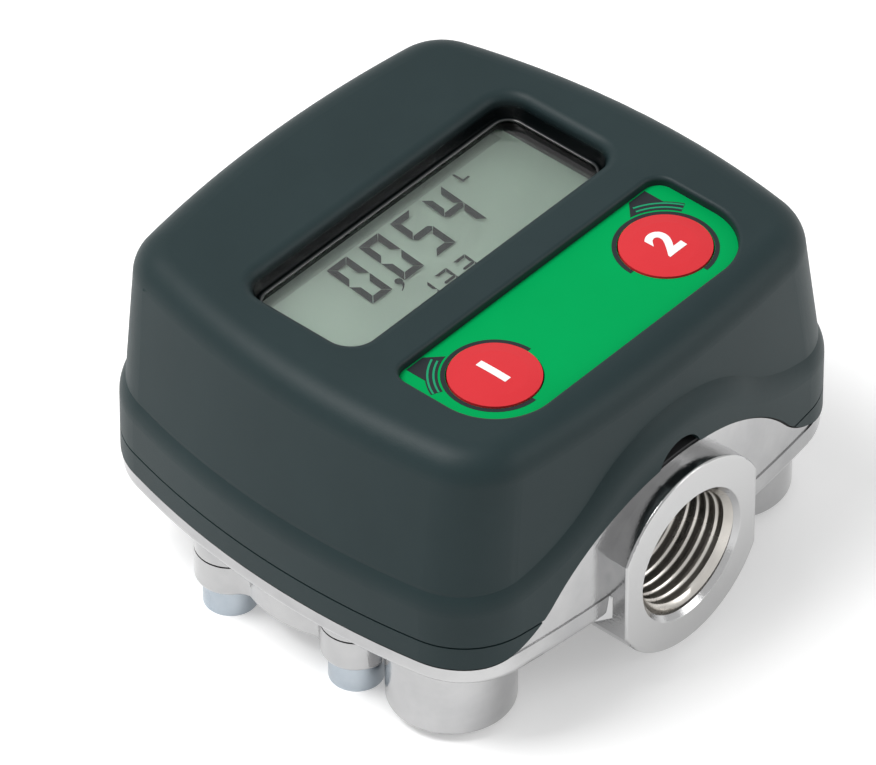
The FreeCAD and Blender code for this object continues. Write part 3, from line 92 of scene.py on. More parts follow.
class Signal:
    """A shader socket that can be used in Python expressions."""

    def __init__(self, graph: "Graph", socket: bpy.types.NodeSocket) -> None:
        """Wraps a socket.

        Args:
            graph: The node graph that owns the socket.
            socket: The output socket to wrap.
        """
        self.graph = graph
        self.socket = socket

    def math(self, operation: Maths, other: "Signal | float" = 0.0) -> "Signal":
        """Adds a Math node behind this signal.

        Args:
            operation: What the node does.
            other: Its second value.

        Returns:
            The node's result.
        """
        settings = {"operation": operation.value}
        return self.graph.node("ShaderNodeMath", settings, {0: self, 1: other})["Value"]

    def __add__(self, other: "Signal | float") -> "Signal":
        """Sum of two signals."""
        return self.math(Maths.ADD, other)

    __radd__ = __add__

    def __mul__(self, other: "Signal | float") -> "Signal":
        """Product of two signals."""
        return self.math(Maths.MULTIPLY, other)

    __rmul__ = __mul__

    def __sub__(self, other: "Signal | float") -> "Signal":
        """Difference of two signals."""
        return self.math(Maths.SUBTRACT, other)

    def __rsub__(self, other: float) -> "Signal":
        """A number less this signal."""
        return self.math(Maths.MULTIPLY, -1.0).math(Maths.ADD, other)

    def __pow__(self, other: float) -> "Signal":
        """This signal raised to a power."""
        return self.math(Maths.POWER, other)

    def __abs__(self) -> "Signal":
        """Size of the signal without its sign."""
        return self.math(Maths.ABSOLUTE)

    def ramp(self, low: float, high: float) -> "Signal":
        """Brings low to high onto 0 to 1, clamped.

        Args:
            low: Value that becomes 0.
            high: Value that becomes 1.

        Returns:
            The clamped signal.
        """
        values = {"Value": self, "From Min": low, "From Max": high}
        return self.graph.node("ShaderNodeMapRange", {"clamp": True}, values)["Result"]


class Graph:
    """One material's node tree."""

    def __init__(self, name: str, store: str = "materials") -> None:
        """Makes an empty material or world.

        Args:
            name: Its name.
            store: Where Blender keeps it.
        """
        self.material = getattr(bpy.data, store).new(name)
        self.material.use_nodes = True
        self.tree = self.material.node_tree
        self.tree.nodes.clear()

    def node(self, kind: str, settings: dict | None = None, values: dict | None = None) -> dict:
        """Adds a node, sets it up and links or fills its inputs.

        Args:
            kind: The node's type name.
            settings: Properties of the node, set first.
            values: Numbers, colours or signals by input name or number.

        Returns:
            The node's outputs as signals, by name.
        """
        made = self.tree.nodes.new(kind)
        for key, value in (settings or {}).items():
            setattr(made, key, value)
        for key, value in (values or {}).items():
            target = made.inputs[key]
            if isinstance(value, Signal):
                self.tree.links.new(value.socket, target)
            else:
                target.default_value = value
        return {out.name: Signal(self, out) for out in made.outputs if out.enabled}

    def place(self, centre: tuple = (0.0, 0.0, 0.0)) -> Signal:
        """Object coordinates about a point.

        Args:
            centre: Point that becomes the origin, in metres.

        Returns:
            The vector.
        """
        point = self.node("ShaderNodeTexCoord")["Object"]
        values = {0: point, 1: centre}
        return self.node("ShaderNodeVectorMath", {"operation": "SUBTRACT"}, values)["Vector"]

    def axes(self, vector: Signal) -> tuple[Signal, Signal, Signal]:
        """Splits a vector into its three numbers."""
        parts = self.node("ShaderNodeSeparateXYZ", None, {"Vector": vector})
        return parts["X"], parts["Y"], parts["Z"]

    def noise(self, scale: float, detail: float, rough: float) -> Signal:
        """Smooth noise between 0 and 1.

        Args:
            scale: Features per metre.
            detail: Octaves.
            rough: Strength of the finer octaves.

        Returns:
            The noise value.
        """
        values = {"Vector": self.place(), "Scale": scale, "Detail": detail, "Roughness": rough}
        made = self.node("ShaderNodeTexNoise", None, values)
        return made.get("Fac") or made["Factor"]

    def mix(self, factor: Signal | float, first: Signal | tuple, second: Signal | tuple) -> Signal:
        """Blends two colours.

        Args:
            factor: 0 gives the first, 1 the second.
            first: Colour at 0.
            second: Colour at 1.

        Returns:
            The blended colour.
        """
        made = self.tree.nodes.new("ShaderNodeMix")
        made.data_type = "RGBA"
        for index, value in ((0, factor), (6, first), (7, second)):
            if isinstance(value, Signal):
                self.tree.links.new(value.socket, made.inputs[index])
            else:
                made.inputs[index].default_value = value
        return Signal(self, made.outputs[2])

    def bump(self, height: Signal, depth: float, normal: Signal | None = None) -> Signal:
        """Turns a height signal into a normal.

        Args:
            height: The height, 0 to 1.
            depth: What a height of 1 stands for, in metres.
            normal: Normal that is bumped further, where there is one.

        Returns:
            The normal.
        """
        values = {"Height": height, "Distance": depth} | ({"Normal": normal} if normal else {})
        return self.node("ShaderNodeBump", None, values)["Normal"]

    def seen(self) -> Signal:
        """Is 1 where the eye looks, straight, by reflection or through a clear piece.

        Returns:
            The mask.
        """
        path = self.node("ShaderNodeLightPath")
        straight = path["Is Camera Ray"].math(Maths.MAXIMUM, path["Is Glossy Ray"])
        return straight.math(Maths.MAXIMUM, path["Is Transmission Ray"])

    def surface(self, **values: object) -> bpy.types.Material:
        """Ends the tree in a Principled shader.

        Args:
            **values: Input names with underscores for spaces.

        Returns:
            The finished material.
        """
        named = {key.replace("_", " "): value for key, value in values.items()}
        shader = self.node("ShaderNodeBsdfPrincipled", None, named)["BSDF"]
        self.node("ShaderNodeOutputMaterial", None, {"Surface": shader})
        return self.material


def linear(level: float) -> float:
    """Turns one channel of a display colour into its linear share.

    Args:
        level: The channel, 0 to 255.

    Returns:
        The linear share, by the sRGB curve.
    """
    part = level / 255.0
    return part / 12.92 if part <= 0.04045 else ((part + 0.055) / 1.055) ** 2.4


def tint(red: float, green: float, blue: float) -> tuple[float, float, float, float]:
    """Turns a display colour of 0 to 255 into the linear colour that a shader takes.

    Args:
        red: Red level.
        green: Green level.
        blue: Blue level.

    Returns:
        Linear colour with alpha.
    """
    return (linear(red), linear(green), linear(blue), 1.0)


@dataclass(frozen=True)
class Pattern:
    """A noise pattern, as it is or spread over the full range."""

    scale: float
    detail: float
    rough: float
    low: float = 0.3
    high: float = 0.7

    def plain(self, graph: Graph) -> Signal:
        """The noise as it is."""
        return graph.noise(self.scale, self.detail, self.rough)

    def spread(self, graph: Graph) -> Signal:
        """The noise with its low and high brought onto 0 and 1."""
        return self.plain(graph).ramp(self.low, self.high)


PLATING_CLOUD = Pattern(90.0, 4.0, 0.6)
MOULDING_CLOUD = Pattern(45.0, 4.0, 0.6)
CLOUD_SHARE = 0.6


@dataclass(frozen=True)
class Metal:
    """A bare or plated metal, cast or machined."""

    name: str
    colour: tuple
    dark: tuple
    roughness: float
    spread: float
    grain: float
    depth: float

    def make(self) -> bpy.types.Material:
        """Builds the material: a soft cloud in tone, fine orange peel and a spread of roughness.

        Returns:
            The metal.
        """
        graph = Graph(self.name)
        cloud = PLATING_CLOUD.spread(graph)
        peel = Pattern(self.grain, 3.0, 0.55).plain(graph)
        return graph.surface(
            Base_Color=graph.mix(cloud, self.dark, self.colour),
            Metallic=1.0,
            Roughness=cloud * self.spread + self.roughness,
            Normal=graph.bump(peel, self.depth),
        )


@dataclass(frozen=True)
class PlatedCasting:
    """Satin nickel plating on the die casting; the turned faces of the ports are smooth and even,
    and their lighter colour is a painted highlight.
    """

    name: str
    colour: tuple
    dark: tuple
    face_colour: tuple
    face_start: float
    axis_height: float
    roughness: float = 0.11
    spread: float = 0.09
    peel: Pattern = Pattern(2200.0, 3.0, 0.55)
    depth: float = 0.02 * MM
    turning: float = 7000.0
    turning_depth: float = 0.001 * MM

    def make(self) -> bpy.types.Material:
        """Builds the material: soft clouds, orange peel, and turning rings on the port faces, whose
        lighter colour is a painted highlight.

        Returns:
            The plating.
        """
        graph = Graph(self.name)
        cloud = PLATING_CLOUD.spread(graph)
        peel = self.peel.plain(graph)
        across, along, up = graph.axes(graph.place((0.0, 0.0, self.axis_height)))
        face = abs(along).ramp(self.face_start - self.depth, self.face_start)
        rings = ((across * across + up * up) ** 0.5 * self.turning).math(Maths.SINE)
        cast = graph.bump(peel * (1.0 - face), self.depth)
        return graph.surface(
            # The port faces take a lighter, even colour: their real turned finish, brightened as a
            # painted highlight.
            Base_Color=graph.mix(face, graph.mix(cloud, self.dark, self.colour), self.face_colour),
            Metallic=1.0,
            Roughness=cloud * self.spread + self.roughness,
            Normal=graph.bump(rings * face, self.turning_depth, normal=cast),
        )


@dataclass(frozen=True)
class Moulding:
    """A moulded or painted plastic surface with a fine texture."""

    name: str
    colour: tuple
    light: tuple
    roughness: float
    spread: float
    grain: float
    depth: float
    specular: float = 0.5

    def make(self) -> bpy.types.Material:
        """Builds the material: fine grain, slight unevenness in tone and shine.

        Returns:
            The plastic.
        """
        graph = Graph(self.name)
        cloud = MOULDING_CLOUD.spread(graph)
        grain = Pattern(self.grain, 2.0, 0.6).plain(graph)
        tone = cloud * CLOUD_SHARE + grain * (1.0 - CLOUD_SHARE)
        return graph.surface(
            Base_Color=graph.mix(tone, self.colour, self.light),
            Roughness=grain * self.spread + self.roughness,
            Specular_IOR_Level=self.specular,
            Normal=graph.bump(grain, self.depth),
        )


@dataclass(frozen=True)
class CoverShell:
    """The outer cover's black moulding with the deep, polished well of its window, where painted
    shade darkens the colour.
    """

    name: str
    colour: tuple
    light: tuple
    well_colour: tuple
    well_half_width: float
    well_front: float
    well_rear: float
    well_top: float
    well_drop: float
    fade: float = 0.5 * MM
    roughness: float = 0.42
    well_roughness: float = 0.2
    spread: float = 0.12
    grain: Pattern = Pattern(5200.0, 2.0, 0.6)
    depth: float = 0.02 * MM
    specular: float = 0.22

    def well(self, graph: Graph) -> Signal:
        """Is 1 in the window's well, where the painted shade falls, and 0 elsewhere.

        Args:
            graph: The material's tree.

        Returns:
            The mask, soft at its upper rim.
        """
        across, along, up = graph.axes(graph.place())
        inside = abs(across).ramp(self.well_half_width + self.fade, self.well_half_width)
        front = along.ramp(self.well_front - self.fade, self.well_front)
        rear = along.ramp(self.well_rear + self.fade, self.well_rear)
        deep = up.ramp(self.well_top, self.well_top - self.well_drop)
        return inside * front * rear * deep

    def make(self) -> bpy.types.Material:
        """Builds the material: fine spark-eroded grain that gives way to polish in the well, whose
        darker colour is painted shade.

        Returns:
            The cover's plastic.
        """
        graph = Graph(self.name)
        cloud = MOULDING_CLOUD.spread(graph)
        grain = self.grain.plain(graph)
        well = self.well(graph)
        tone = cloud * CLOUD_SHARE + grain * (1.0 - CLOUD_SHARE)
        field = graph.mix(tone, self.colour, self.light)
        matt = grain * self.spread + self.roughness
        return graph.surface(
            # In the well the colour is painted shade: a near-black that stands in for the recess's
            # shadow.
            Base_Color=graph.mix(well, field, self.well_colour),
            Roughness=matt * (1.0 - well) + well * self.well_roughness,
            Specular_IOR_Level=self.specular,
            Normal=graph.bump(grain * (1.0 - well), self.depth),
        )


@dataclass(frozen=True)
class Clear:
    """The window's clear polycarbonate."""

    name: str
    mirror: float
    index: float = 1.49
    roughness: float = 0.01
    spread: float = 0.02
    haze: Pattern = Pattern(400.0, 2.0, 0.5, 0.4, 0.7)

    def make(self) -> bpy.types.Material:
        """Builds the material: clear sheet with the faintest haze.

        Returns:
            The window's plastic.
        """
        graph = Graph(self.name)
        haze = self.haze.spread(graph)
        return graph.surface(
            Base_Color=(1.0, 1.0, 1.0, 1.0),
            Roughness=haze * self.spread + self.roughness,
            IOR=self.index,
            Specular_IOR_Level=self.mirror,
            Transmission_Weight=1.0,
        )


@dataclass(frozen=True)
class Film:
    """A sheet so thin and clear that only its faint tone shows."""

    name: str
    colour: tuple
    cover: float
    roughness: float = 0.3
    cloud: Pattern = Pattern(60.0, 2.0, 0.5)

    def make(self) -> bpy.types.Material:
        """Builds the material: mostly see-through, a little denser in soft clouds.

        Returns:
            The film.
        """
        graph = Graph(self.name)
        alpha = self.cloud.plain(graph) * self.cover + self.cover
        return graph.surface(Base_Color=self.colour, Roughness=self.roughness, Alpha=alpha)


@dataclass(frozen=True)
class LiquidCrystal:
    """The reflective display panel's face."""

    name: str
    half_width: float
    dark: tuple = tint(178, 201, 185)
    light: tuple = tint(190, 213, 197)
    # Colour of the painted shade that darkens the panel towards its right end.
    shade: tuple = tint(122, 150, 130)
    grit: tuple = tint(166, 184, 166)
    shade_share: float = 0.7
    grit_share: float = 0.25
    roughness: float = 0.3
    spread: float = 0.1
    specular: float = 0.3
    cloud: Pattern = Pattern(30.0, 2.0, 0.5)
    sparkle: Pattern = Pattern(9000.0, 1.0, 0.5)

    def make(self) -> bpy.types.Material:
        """Builds the material: pale olive field with painted shade deepening to the right, and a
        fine sparkle.

        Returns:
            The panel's face.
        """
        graph = Graph(self.name)
        sparkle = self.sparkle.plain(graph)
        across, _, _ = graph.axes(graph.place())
        field = graph.mix(self.cloud.spread(graph), self.dark, self.light)
        # Painted shade: the field darkens from the middle towards the right end.
        with_painted_shade = graph.mix(across.ramp(0.0, self.half_width) * self.shade_share, field, self.shade)
        return graph.surface(
            Base_Color=graph.mix(sparkle * self.grit_share, with_painted_shade, self.grit),
            Roughness=sparkle * self.spread + self.roughness,
            Specular_IOR_Level=self.specular,
        )


FINISHES: tuple = (
    # The plating's third colour, on the turned port faces, is brightened as a painted highlight.
    PlatedCasting("plated_casting", tint(188, 188, 188), tint(170, 170, 171), tint(190, 190, 190),
                  face_start=43.9 * MM, axis_height=19.0 * MM),
    Metal("zinc_screw", tint(186, 193, 199), tint(158, 168, 177), 0.24, 0.12, 2500.0, 0.02 * MM),
    Metal("stainless_steel", tint(214, 214, 214), tint(190, 190, 192), 0.2, 0.1, 3000.0, 0.01 * MM),
    Metal("brass_contact", tint(222, 186, 110), tint(196, 156, 84), 0.22, 0.1, 3000.0, 0.01 * MM),
    Metal("magnet_nickel", tint(208, 206, 202), tint(190, 188, 184), 0.2, 0.1, 3000.0, 0.01 * MM),
    Metal("cut_thread", tint(214, 210, 204), tint(180, 176, 170), 0.2, 0.14, 4000.0, 0.01 * MM),
    # The cover's third colour is the painted shade of the window's well.
    CoverShell("black_cover", tint(24, 40, 42), tint(32, 48, 50), tint(2, 5, 6),
               well_half_width=30.6 * MM, well_front=-4.4 * MM, well_rear=19.6 * MM,
               well_top=55.0 * MM, well_drop=1.4 * MM),
    Moulding("seal_rubber", tint(28, 28, 30), tint(40, 40, 42), 0.6, 0.2, 4000.0, 0.02 * MM),
    Moulding("grey_moulding", tint(60, 62, 64), tint(74, 76, 78), 0.45, 0.15, 5000.0, 0.02 * MM),
    Moulding("board_green", tint(24, 84, 56), tint(32, 100, 66), 0.35, 0.1, 1500.0, 0.01 * MM),
    Moulding("chip_black", tint(30, 31, 33), tint(42, 43, 45), 0.45, 0.15, 5000.0, 0.01 * MM),
    Moulding("label_green", tint(0, 150, 78), tint(0, 158, 84), 0.42, 0.08, 9000.0, 0.01 * MM,
             specular=0.03),
    Moulding("bezel_black", tint(8, 14, 15), tint(14, 20, 21), 0.08, 0.06, 6000.0, 0.002 * MM,
             specular=0.7),
    Moulding("gear_polymer", tint(226, 222, 208), tint(236, 232, 220), 0.4, 0.1, 3000.0, 0.01 * MM),
    Moulding("battery_wrap", tint(190, 150, 40), tint(202, 160, 48), 0.3, 0.1, 2000.0, 0.01 * MM),
    Moulding("cap_plastic", tint(30, 32, 34), tint(40, 42, 44), 0.4, 0.14, 4500.0, 0.02 * MM),
    Moulding("lcd_ink", tint(6, 22, 20), tint(10, 28, 26), 0.5, 0.1, 6000.0, 0.002 * MM,
             specular=0.03),
    Moulding("print_black", tint(28, 33, 37), tint(36, 41, 45), 0.4, 0.08, 9000.0, 0.004 * MM,
             specular=0.2),
    Moulding("print_green", tint(20, 140, 96), tint(28, 150, 104), 0.4, 0.08, 9000.0, 0.004 * MM,
             specular=0.15),
    Moulding("print_white", tint(236, 236, 234), tint(244, 244, 242), 0.4, 0.08, 9000.0,
             0.004 * MM),
    Moulding("button_red", tint(200, 42, 50), tint(208, 50, 56), 0.36, 0.1, 6000.0, 0.01 * MM,
             specular=0.2),
    LiquidCrystal("lcd_glass", 27.0 * MM),
    Clear("clear_lens", 0.2),
    Film("display_film", tint(190, 204, 190), 0.006),
)


class Workshop:
    """Holds the finishes and puts them on CAD nodes and new pieces."""

    def __init__(self) -> None:
        """Builds every finish once."""
        self.finishes = {finish.name: finish.make() for finish in FINISHES}

    def dress_nodes(self, frame: dict) -> None:
        """Gives each CAD node the finish of its material slot.
        """
        for part in frame["record"]["subparts"]:
            self.dress(frame["nodes"][part["node"]], part["material_slot"])

    def dress(self, piece: bpy.types.Object, finish: str) -> None:
        """Puts one finish on a piece.

        Args:
            piece: The object.
            finish: The finish's name.
        """
        piece.data.materials.clear()
        piece.data.materials.append(self.finishes[finish])


class Bench:
    """Modelling moves that every sub-assembly uses, on the active piece."""

    def __init__(self, workshop: Workshop) -> None:
        """Keeps the workshop whose finishes the pieces get.

        Args:
            workshop: The finishes.
        """
        self.workshop = workshop

    def clear(self) -> None:
        """Deselects everything, so that the next primitive stands alone."""
        bpy.ops.object.select_all(action="DESELECT")

    def block(self, size: tuple, centre: tuple = (0.0, 0.0, 0.0)) -> bpy.types.Object:
        """Starts a piece from a cube of the given size.

        Args:
            size: Its three sides.
            centre: Its middle.

        Returns:
            The piece, active and with its place in its mesh.
        """
        self.clear()
        bpy.ops.mesh.primitive_cube_add(size=1.0, location=centre, scale=size)
        bpy.ops.object.transform_apply(location=True, rotation=True, scale=True)
        return bpy.context.active_object

    def pick(self, piece: bpy.types.Object, kind: Element, test: Callable[[Vector], bool]) -> None:
        """Selects the corners, edges or faces whose middle passes a test and enters edit mode.

        Args:
            piece: The piece to work on.
            kind: What is selected.
            test: What a middle has to pass.
        """
        mesh = piece.data
        for item in (*mesh.vertices, *mesh.edges, *mesh.polygons):
            item.select = False
        places = [vertex.co for vertex in mesh.vertices]
        if kind is Element.CORNER:
            items, middles = mesh.vertices, places
        elif kind is Element.EDGE:
            items = mesh.edges
            middles = [(places[edge.vertices[0]] + places[edge.vertices[1]]) / 2 for edge in items]
        else:
            items = mesh.polygons
            middles = [face.center for face in items]
        for item, middle in zip(items, middles):
            item.select = bool(test(middle))
        bpy.context.tool_settings.mesh_select_mode = tuple(kind is element for element in Element)
        bpy.ops.object.mode_set(mode="EDIT")

    def leave(self) -> None:
        """Goes back to object mode."""
        bpy.ops.object.mode_set(mode="OBJECT")

    def modify(self, piece: bpy.types.Object, kind: str, **settings: object) -> None:
        """Adds a modifier, sets it up and applies it.

        Args:
            piece: The piece to change.
            kind: The modifier's type.
            **settings: Its properties.
        """
        bpy.context.view_layer.objects.active = piece
        modifier = piece.modifiers.new(kind.lower(), kind)
        for key, value in settings.items():
            setattr(modifier, key, value)
        bpy.ops.object.modifier_apply(modifier=modifier.name)

    def heal(self, piece: bpy.types.Object) -> None:
        """Merges doubled corners and turns every face outwards.

        Args:
            piece: The piece to heal.
        """
        bpy.context.view_layer.objects.active = piece
        bpy.ops.object.mode_set(mode="EDIT")
        bpy.ops.mesh.select_all(action="SELECT")
        bpy.ops.mesh.remove_doubles(threshold=WELD)
        bpy.ops.mesh.normals_make_consistent(inside=False)
        bpy.ops.object.mode_set(mode="OBJECT")

    def copy(self, piece: bpy.types.Object) -> bpy.types.Object:
        """Copies a piece with a mesh of its own.

        Args:
            piece: The piece to copy.

        Returns:
            The copy.
        """
        twin = piece.copy()
        twin.data = piece.data.copy()
        bpy.context.scene.collection.objects.link(twin)
        return twin

    def drop(self, piece: bpy.types.Object) -> None:
        """Takes away a pattern piece that has been copied or cut with."""
        bpy.data.objects.remove(piece, do_unlink=True)

    def shift(self, piece: bpy.types.Object, place: Matrix) -> bpy.types.Object:
        """Moves a piece's mesh, so that its object stays at the origin.

        Args:
            piece: The piece to move.
            place: Its new place.

        Returns:
            The same piece.
        """
        piece.data.transform(place)
        return piece

    def join(self, pieces: list[bpy.types.Object]) -> bpy.types.Object:
        """Joins pieces into the first one.

        Args:
            pieces: The pieces to join.

        Returns:
            The joined piece.
        """
        self.clear()
        for piece in pieces:
            piece.select_set(True)
        bpy.context.view_layer.objects.active = pieces[0]
        bpy.ops.object.join()
        return pieces[0]

    def finish(self, piece: bpy.types.Object, name: str, finish: str,
               body: str = "root") -> bpy.types.Object:
        """Names, smooths and dresses a piece and lets it ride on its body.

        Args:
            piece: The piece.
            name: Its name.
            finish: The name of its finish.
            body: The body that carries it.

        Returns:
            The finished piece.
        """
        self.clear()
        piece.select_set(True)
        bpy.context.view_layer.objects.active = piece
        bpy.ops.object.transform_apply(location=True, rotation=True, scale=True)
        bpy.ops.object.shade_smooth_by_angle(angle=SMOOTH_ANGLE)
        piece.name = name
        self.workshop.dress(piece, finish)
        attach(piece, body)
        LOG.info("%s: %d faces, rides on %s", name, len(piece.data.polygons), body)
        return piece


@dataclass
class PortThreads:
    """Ridges of the pipe thread in both ports."""

    bench: Bench
    body: tuple
    port_height: float
    major: float = 10.48 * MM
    minor: float = 9.32 * MM
    pitch: float = 1.814 * MM
    mouth: float = 0.8 * MM
    depth: float = 14.0 * MM
    crest_share: float = 0.2
    mouth_slope: float = 0.96
    sink: float = 0.02 * MM
    steps: int = 72

    def ridge(self) -> bpy.types.Object:
        """Models one thread about the upright axis: a tapered section, turned up a screw line.

        Returns:
            The thread, its first turn at height 0.
        """
        bench = self.bench
        height = self.major - self.minor
        middle_radius = (self.major + self.minor) / 2
        thread = bench.block((height, self.pitch, self.pitch), (middle_radius, 0.0, 0.0))
        bench.pick(thread, Element.FACE, lambda middle: middle.x < self.minor + height / 4)
        bpy.ops.transform.resize(value=(1.0, 1.0, self.crest_share))
        bench.leave()
        bench.pick(thread, Element.FACE, lambda middle: middle.y < -self.pitch / 4)
        bpy.ops.mesh.select_all(action="INVERT")
        bpy.ops.mesh.delete(type="FACE")
        bench.leave()
        self.flatten(thread)
        turns = int((self.depth - self.mouth) / self.pitch)
        bench.modify(thread, "SCREW", axis="Z", angle=2.0 * math.pi, screw_offset=self.pitch,
                     iterations=turns, steps=self.steps, render_steps=self.steps,
                     use_merge_vertices=True, merge_threshold=WELD)
        bench.heal(thread)
        bench.pick(thread, Element.EDGE, lambda middle: True)
        bpy.ops.mesh.fill_holes(sides=4)
        bench.leave()
        return thread

    def flatten(self, thread: bpy.types.Object) -> None:
        """Brings the section into the plane through the axis.

        Args:
            thread: The section.
        """
        self.bench.pick(thread, Element.CORNER, lambda middle: True)
        bpy.ops.transform.translate(value=(0.0, self.pitch / 2, 0.0))
        self.bench.leave()

    def run_in(self, thread: bpy.types.Object) -> None:
        """Cuts the first turns back to the cone of the mouth, which starts at height 0.

        Args:
            thread: The thread about the upright axis.
        """
        for vertex in thread.data.vertices:
            vertex.co.z = max(vertex.co.z, self.sink - self.mouth)
            radius = math.hypot(vertex.co.x, vertex.co.y)
            least = self.major + self.sink - vertex.co.z * self.mouth_slope
            stretch = max(1.0, least / radius)
            vertex.co.x *= stretch
            vertex.co.y *= stretch

    def build(self) -> None:
        """Puts one thread in each port."""
        thread = self.ridge()
        self.bench.shift(thread, Matrix.Translation((0.0, 0.0, -self.pitch / 2)))
        self.run_in(thread)
        reach = self.body[1][1] - self.mouth
        for name, turn, way in (("inlet_thread", 270.0, -1.0), ("outlet_thread", 90.0, 1.0)):
            start = Matrix.Translation((0.0, way * reach, self.port_height))
            inwards = Matrix.Rotation(math.radians(turn), 4, "X")
            copy = self.bench.shift(self.bench.copy(thread), start @ inwards)
            self.bench.finish(copy, name, "cut_thread")
        self.bench.drop(thread)


class Bar(Enum):
    """Bars of a seven-bar figure."""

    TOP = "top"
    UPPER_LEFT = "upper_left"
    UPPER_RIGHT = "upper_right"
    MIDDLE = "middle"
    LOWER_LEFT = "lower_left"
    LOWER_RIGHT = "lower_right"
    BOTTOM = "bottom"


FIGURES: dict[str, tuple[Bar, ...]] = {
    "0": (Bar.TOP, Bar.UPPER_LEFT, Bar.UPPER_RIGHT, Bar.LOWER_LEFT, Bar.LOWER_RIGHT, Bar.BOTTOM),
    "1": (Bar.UPPER_RIGHT, Bar.LOWER_RIGHT),
    "3": (Bar.TOP, Bar.UPPER_RIGHT, Bar.MIDDLE, Bar.LOWER_RIGHT, Bar.BOTTOM),
    "4": (Bar.UPPER_LEFT, Bar.UPPER_RIGHT, Bar.MIDDLE, Bar.LOWER_RIGHT),
    "5": (Bar.TOP, Bar.UPPER_LEFT, Bar.MIDDLE, Bar.LOWER_RIGHT, Bar.BOTTOM),
}


@dataclass
class Figures:
    """One row of leaning seven-bar figures."""

    bench: Bench
    text: str
    width: float
    height: float
    stroke: float
    pitch: float
    lean: float
    gap: float
    thickness: float

    def bar(self, length: float) -> bpy.types.Object:
        """Models a level edge bar: its inner side is shorter by the mitres at both ends.

        Args:
            length: Its outer side.

        Returns:
            The bar, its outer side away from the figure's middle, along +Y.
        """
        bar = self.bench.block((length, self.stroke, self.thickness))
        self.bench.pick(bar, Element.FACE, lambda middle: middle.y < -self.stroke / 4)
        bpy.ops.transform.resize(value=((length - 2 * self.stroke) / length, 1.0, 1.0))
        self.bench.leave()
        return bar

    def middle(self) -> bpy.types.Object:
        """Models the middle bar, pointed at both ends.

        Returns:
            The bar.
        """
        length = self.width - self.gap * 2
        bar = self.bench.block((length, self.stroke, self.thickness))
        bpy.ops.object.mode_set(mode="EDIT")
        bpy.ops.mesh.select_all(action="SELECT")
        bpy.ops.mesh.bisect(plane_co=(0.0, 0.0, 0.0), plane_no=(0.0, 1.0, 0.0))
        self.bench.leave()
        self.bench.pick(bar, Element.CORNER, lambda middle: abs(middle.y) > self.stroke / 4)
        bpy.ops.transform.resize(value=((length - self.stroke) / length, 1.0, 1.0))
        self.bench.leave()
        return bar

    def bars(self) -> dict[Bar, bpy.types.Object]:
        """Models the three kinds of bar and puts one in each place of a figure.

        Returns:
            The seven bars, from which figures are copied.
        """
        half = self.height / 2
        side = (self.width - self.stroke) / 2
        level = self.bar(self.width - 2 * self.gap)
        upright = self.bar(half - self.gap)
        middle = self.middle()
        turns = {
            Bar.TOP: (level, 0.0, half - self.stroke / 2, 0.0),
            Bar.BOTTOM: (level, 0.0, self.stroke / 2 - half, 180.0),
            Bar.MIDDLE: (middle, 0.0, 0.0, 0.0),
            Bar.UPPER_LEFT: (upright, -side, half / 2, 90.0),
            Bar.LOWER_LEFT: (upright, -side, -half / 2, 90.0),
            Bar.UPPER_RIGHT: (upright, side, half / 2, -90.0),
            Bar.LOWER_RIGHT: (upright, side, -half / 2, -90.0),
        }
        bars = {}
        for name, (pattern, x, y, turn) in turns.items():
            place = Matrix.Translation((x, y, 0.0)) @ Matrix.Rotation(math.radians(turn), 4, "Z")
            bars[name] = self.bench.shift(self.bench.copy(pattern), place)
        for pattern in (level, upright, middle):
            self.bench.drop(pattern)
        return bars

    def figure(self, sign: str, bars: dict[Bar, bpy.types.Object]) -> bpy.types.Object:
        """Puts copies of the bars of one sign together and leans them.

        Args:
            sign: The numeral.
            bars: The seven bars.

        Returns:
            The figure, its middle at the origin.
        """
        lean = Matrix.Identity(4)
        lean[0][1] = self.lean / self.height
        copies = [self.bench.copy(bars[name]) for name in FIGURES[sign]]
        return self.bench.shift(self.bench.join(copies), lean)

    def build(self, name: str, corner: tuple) -> None:
        """Sets the row of figures.

        Args:
            name: Start of the pieces' names.
            corner: Middle of the first figure.
        """
        bars = self.bars()
        for place, sign in enumerate(self.text):
            figure = self.figure(sign, bars)
            step = Vector((place * self.pitch, 0.0, 0.0))
            self.bench.shift(figure, Matrix.Translation(Vector(corner) + step))
            self.bench.finish(figure, f"{name}_{place + 1}", "lcd_ink")
        for bar in bars.values():
            self.bench.drop(bar)


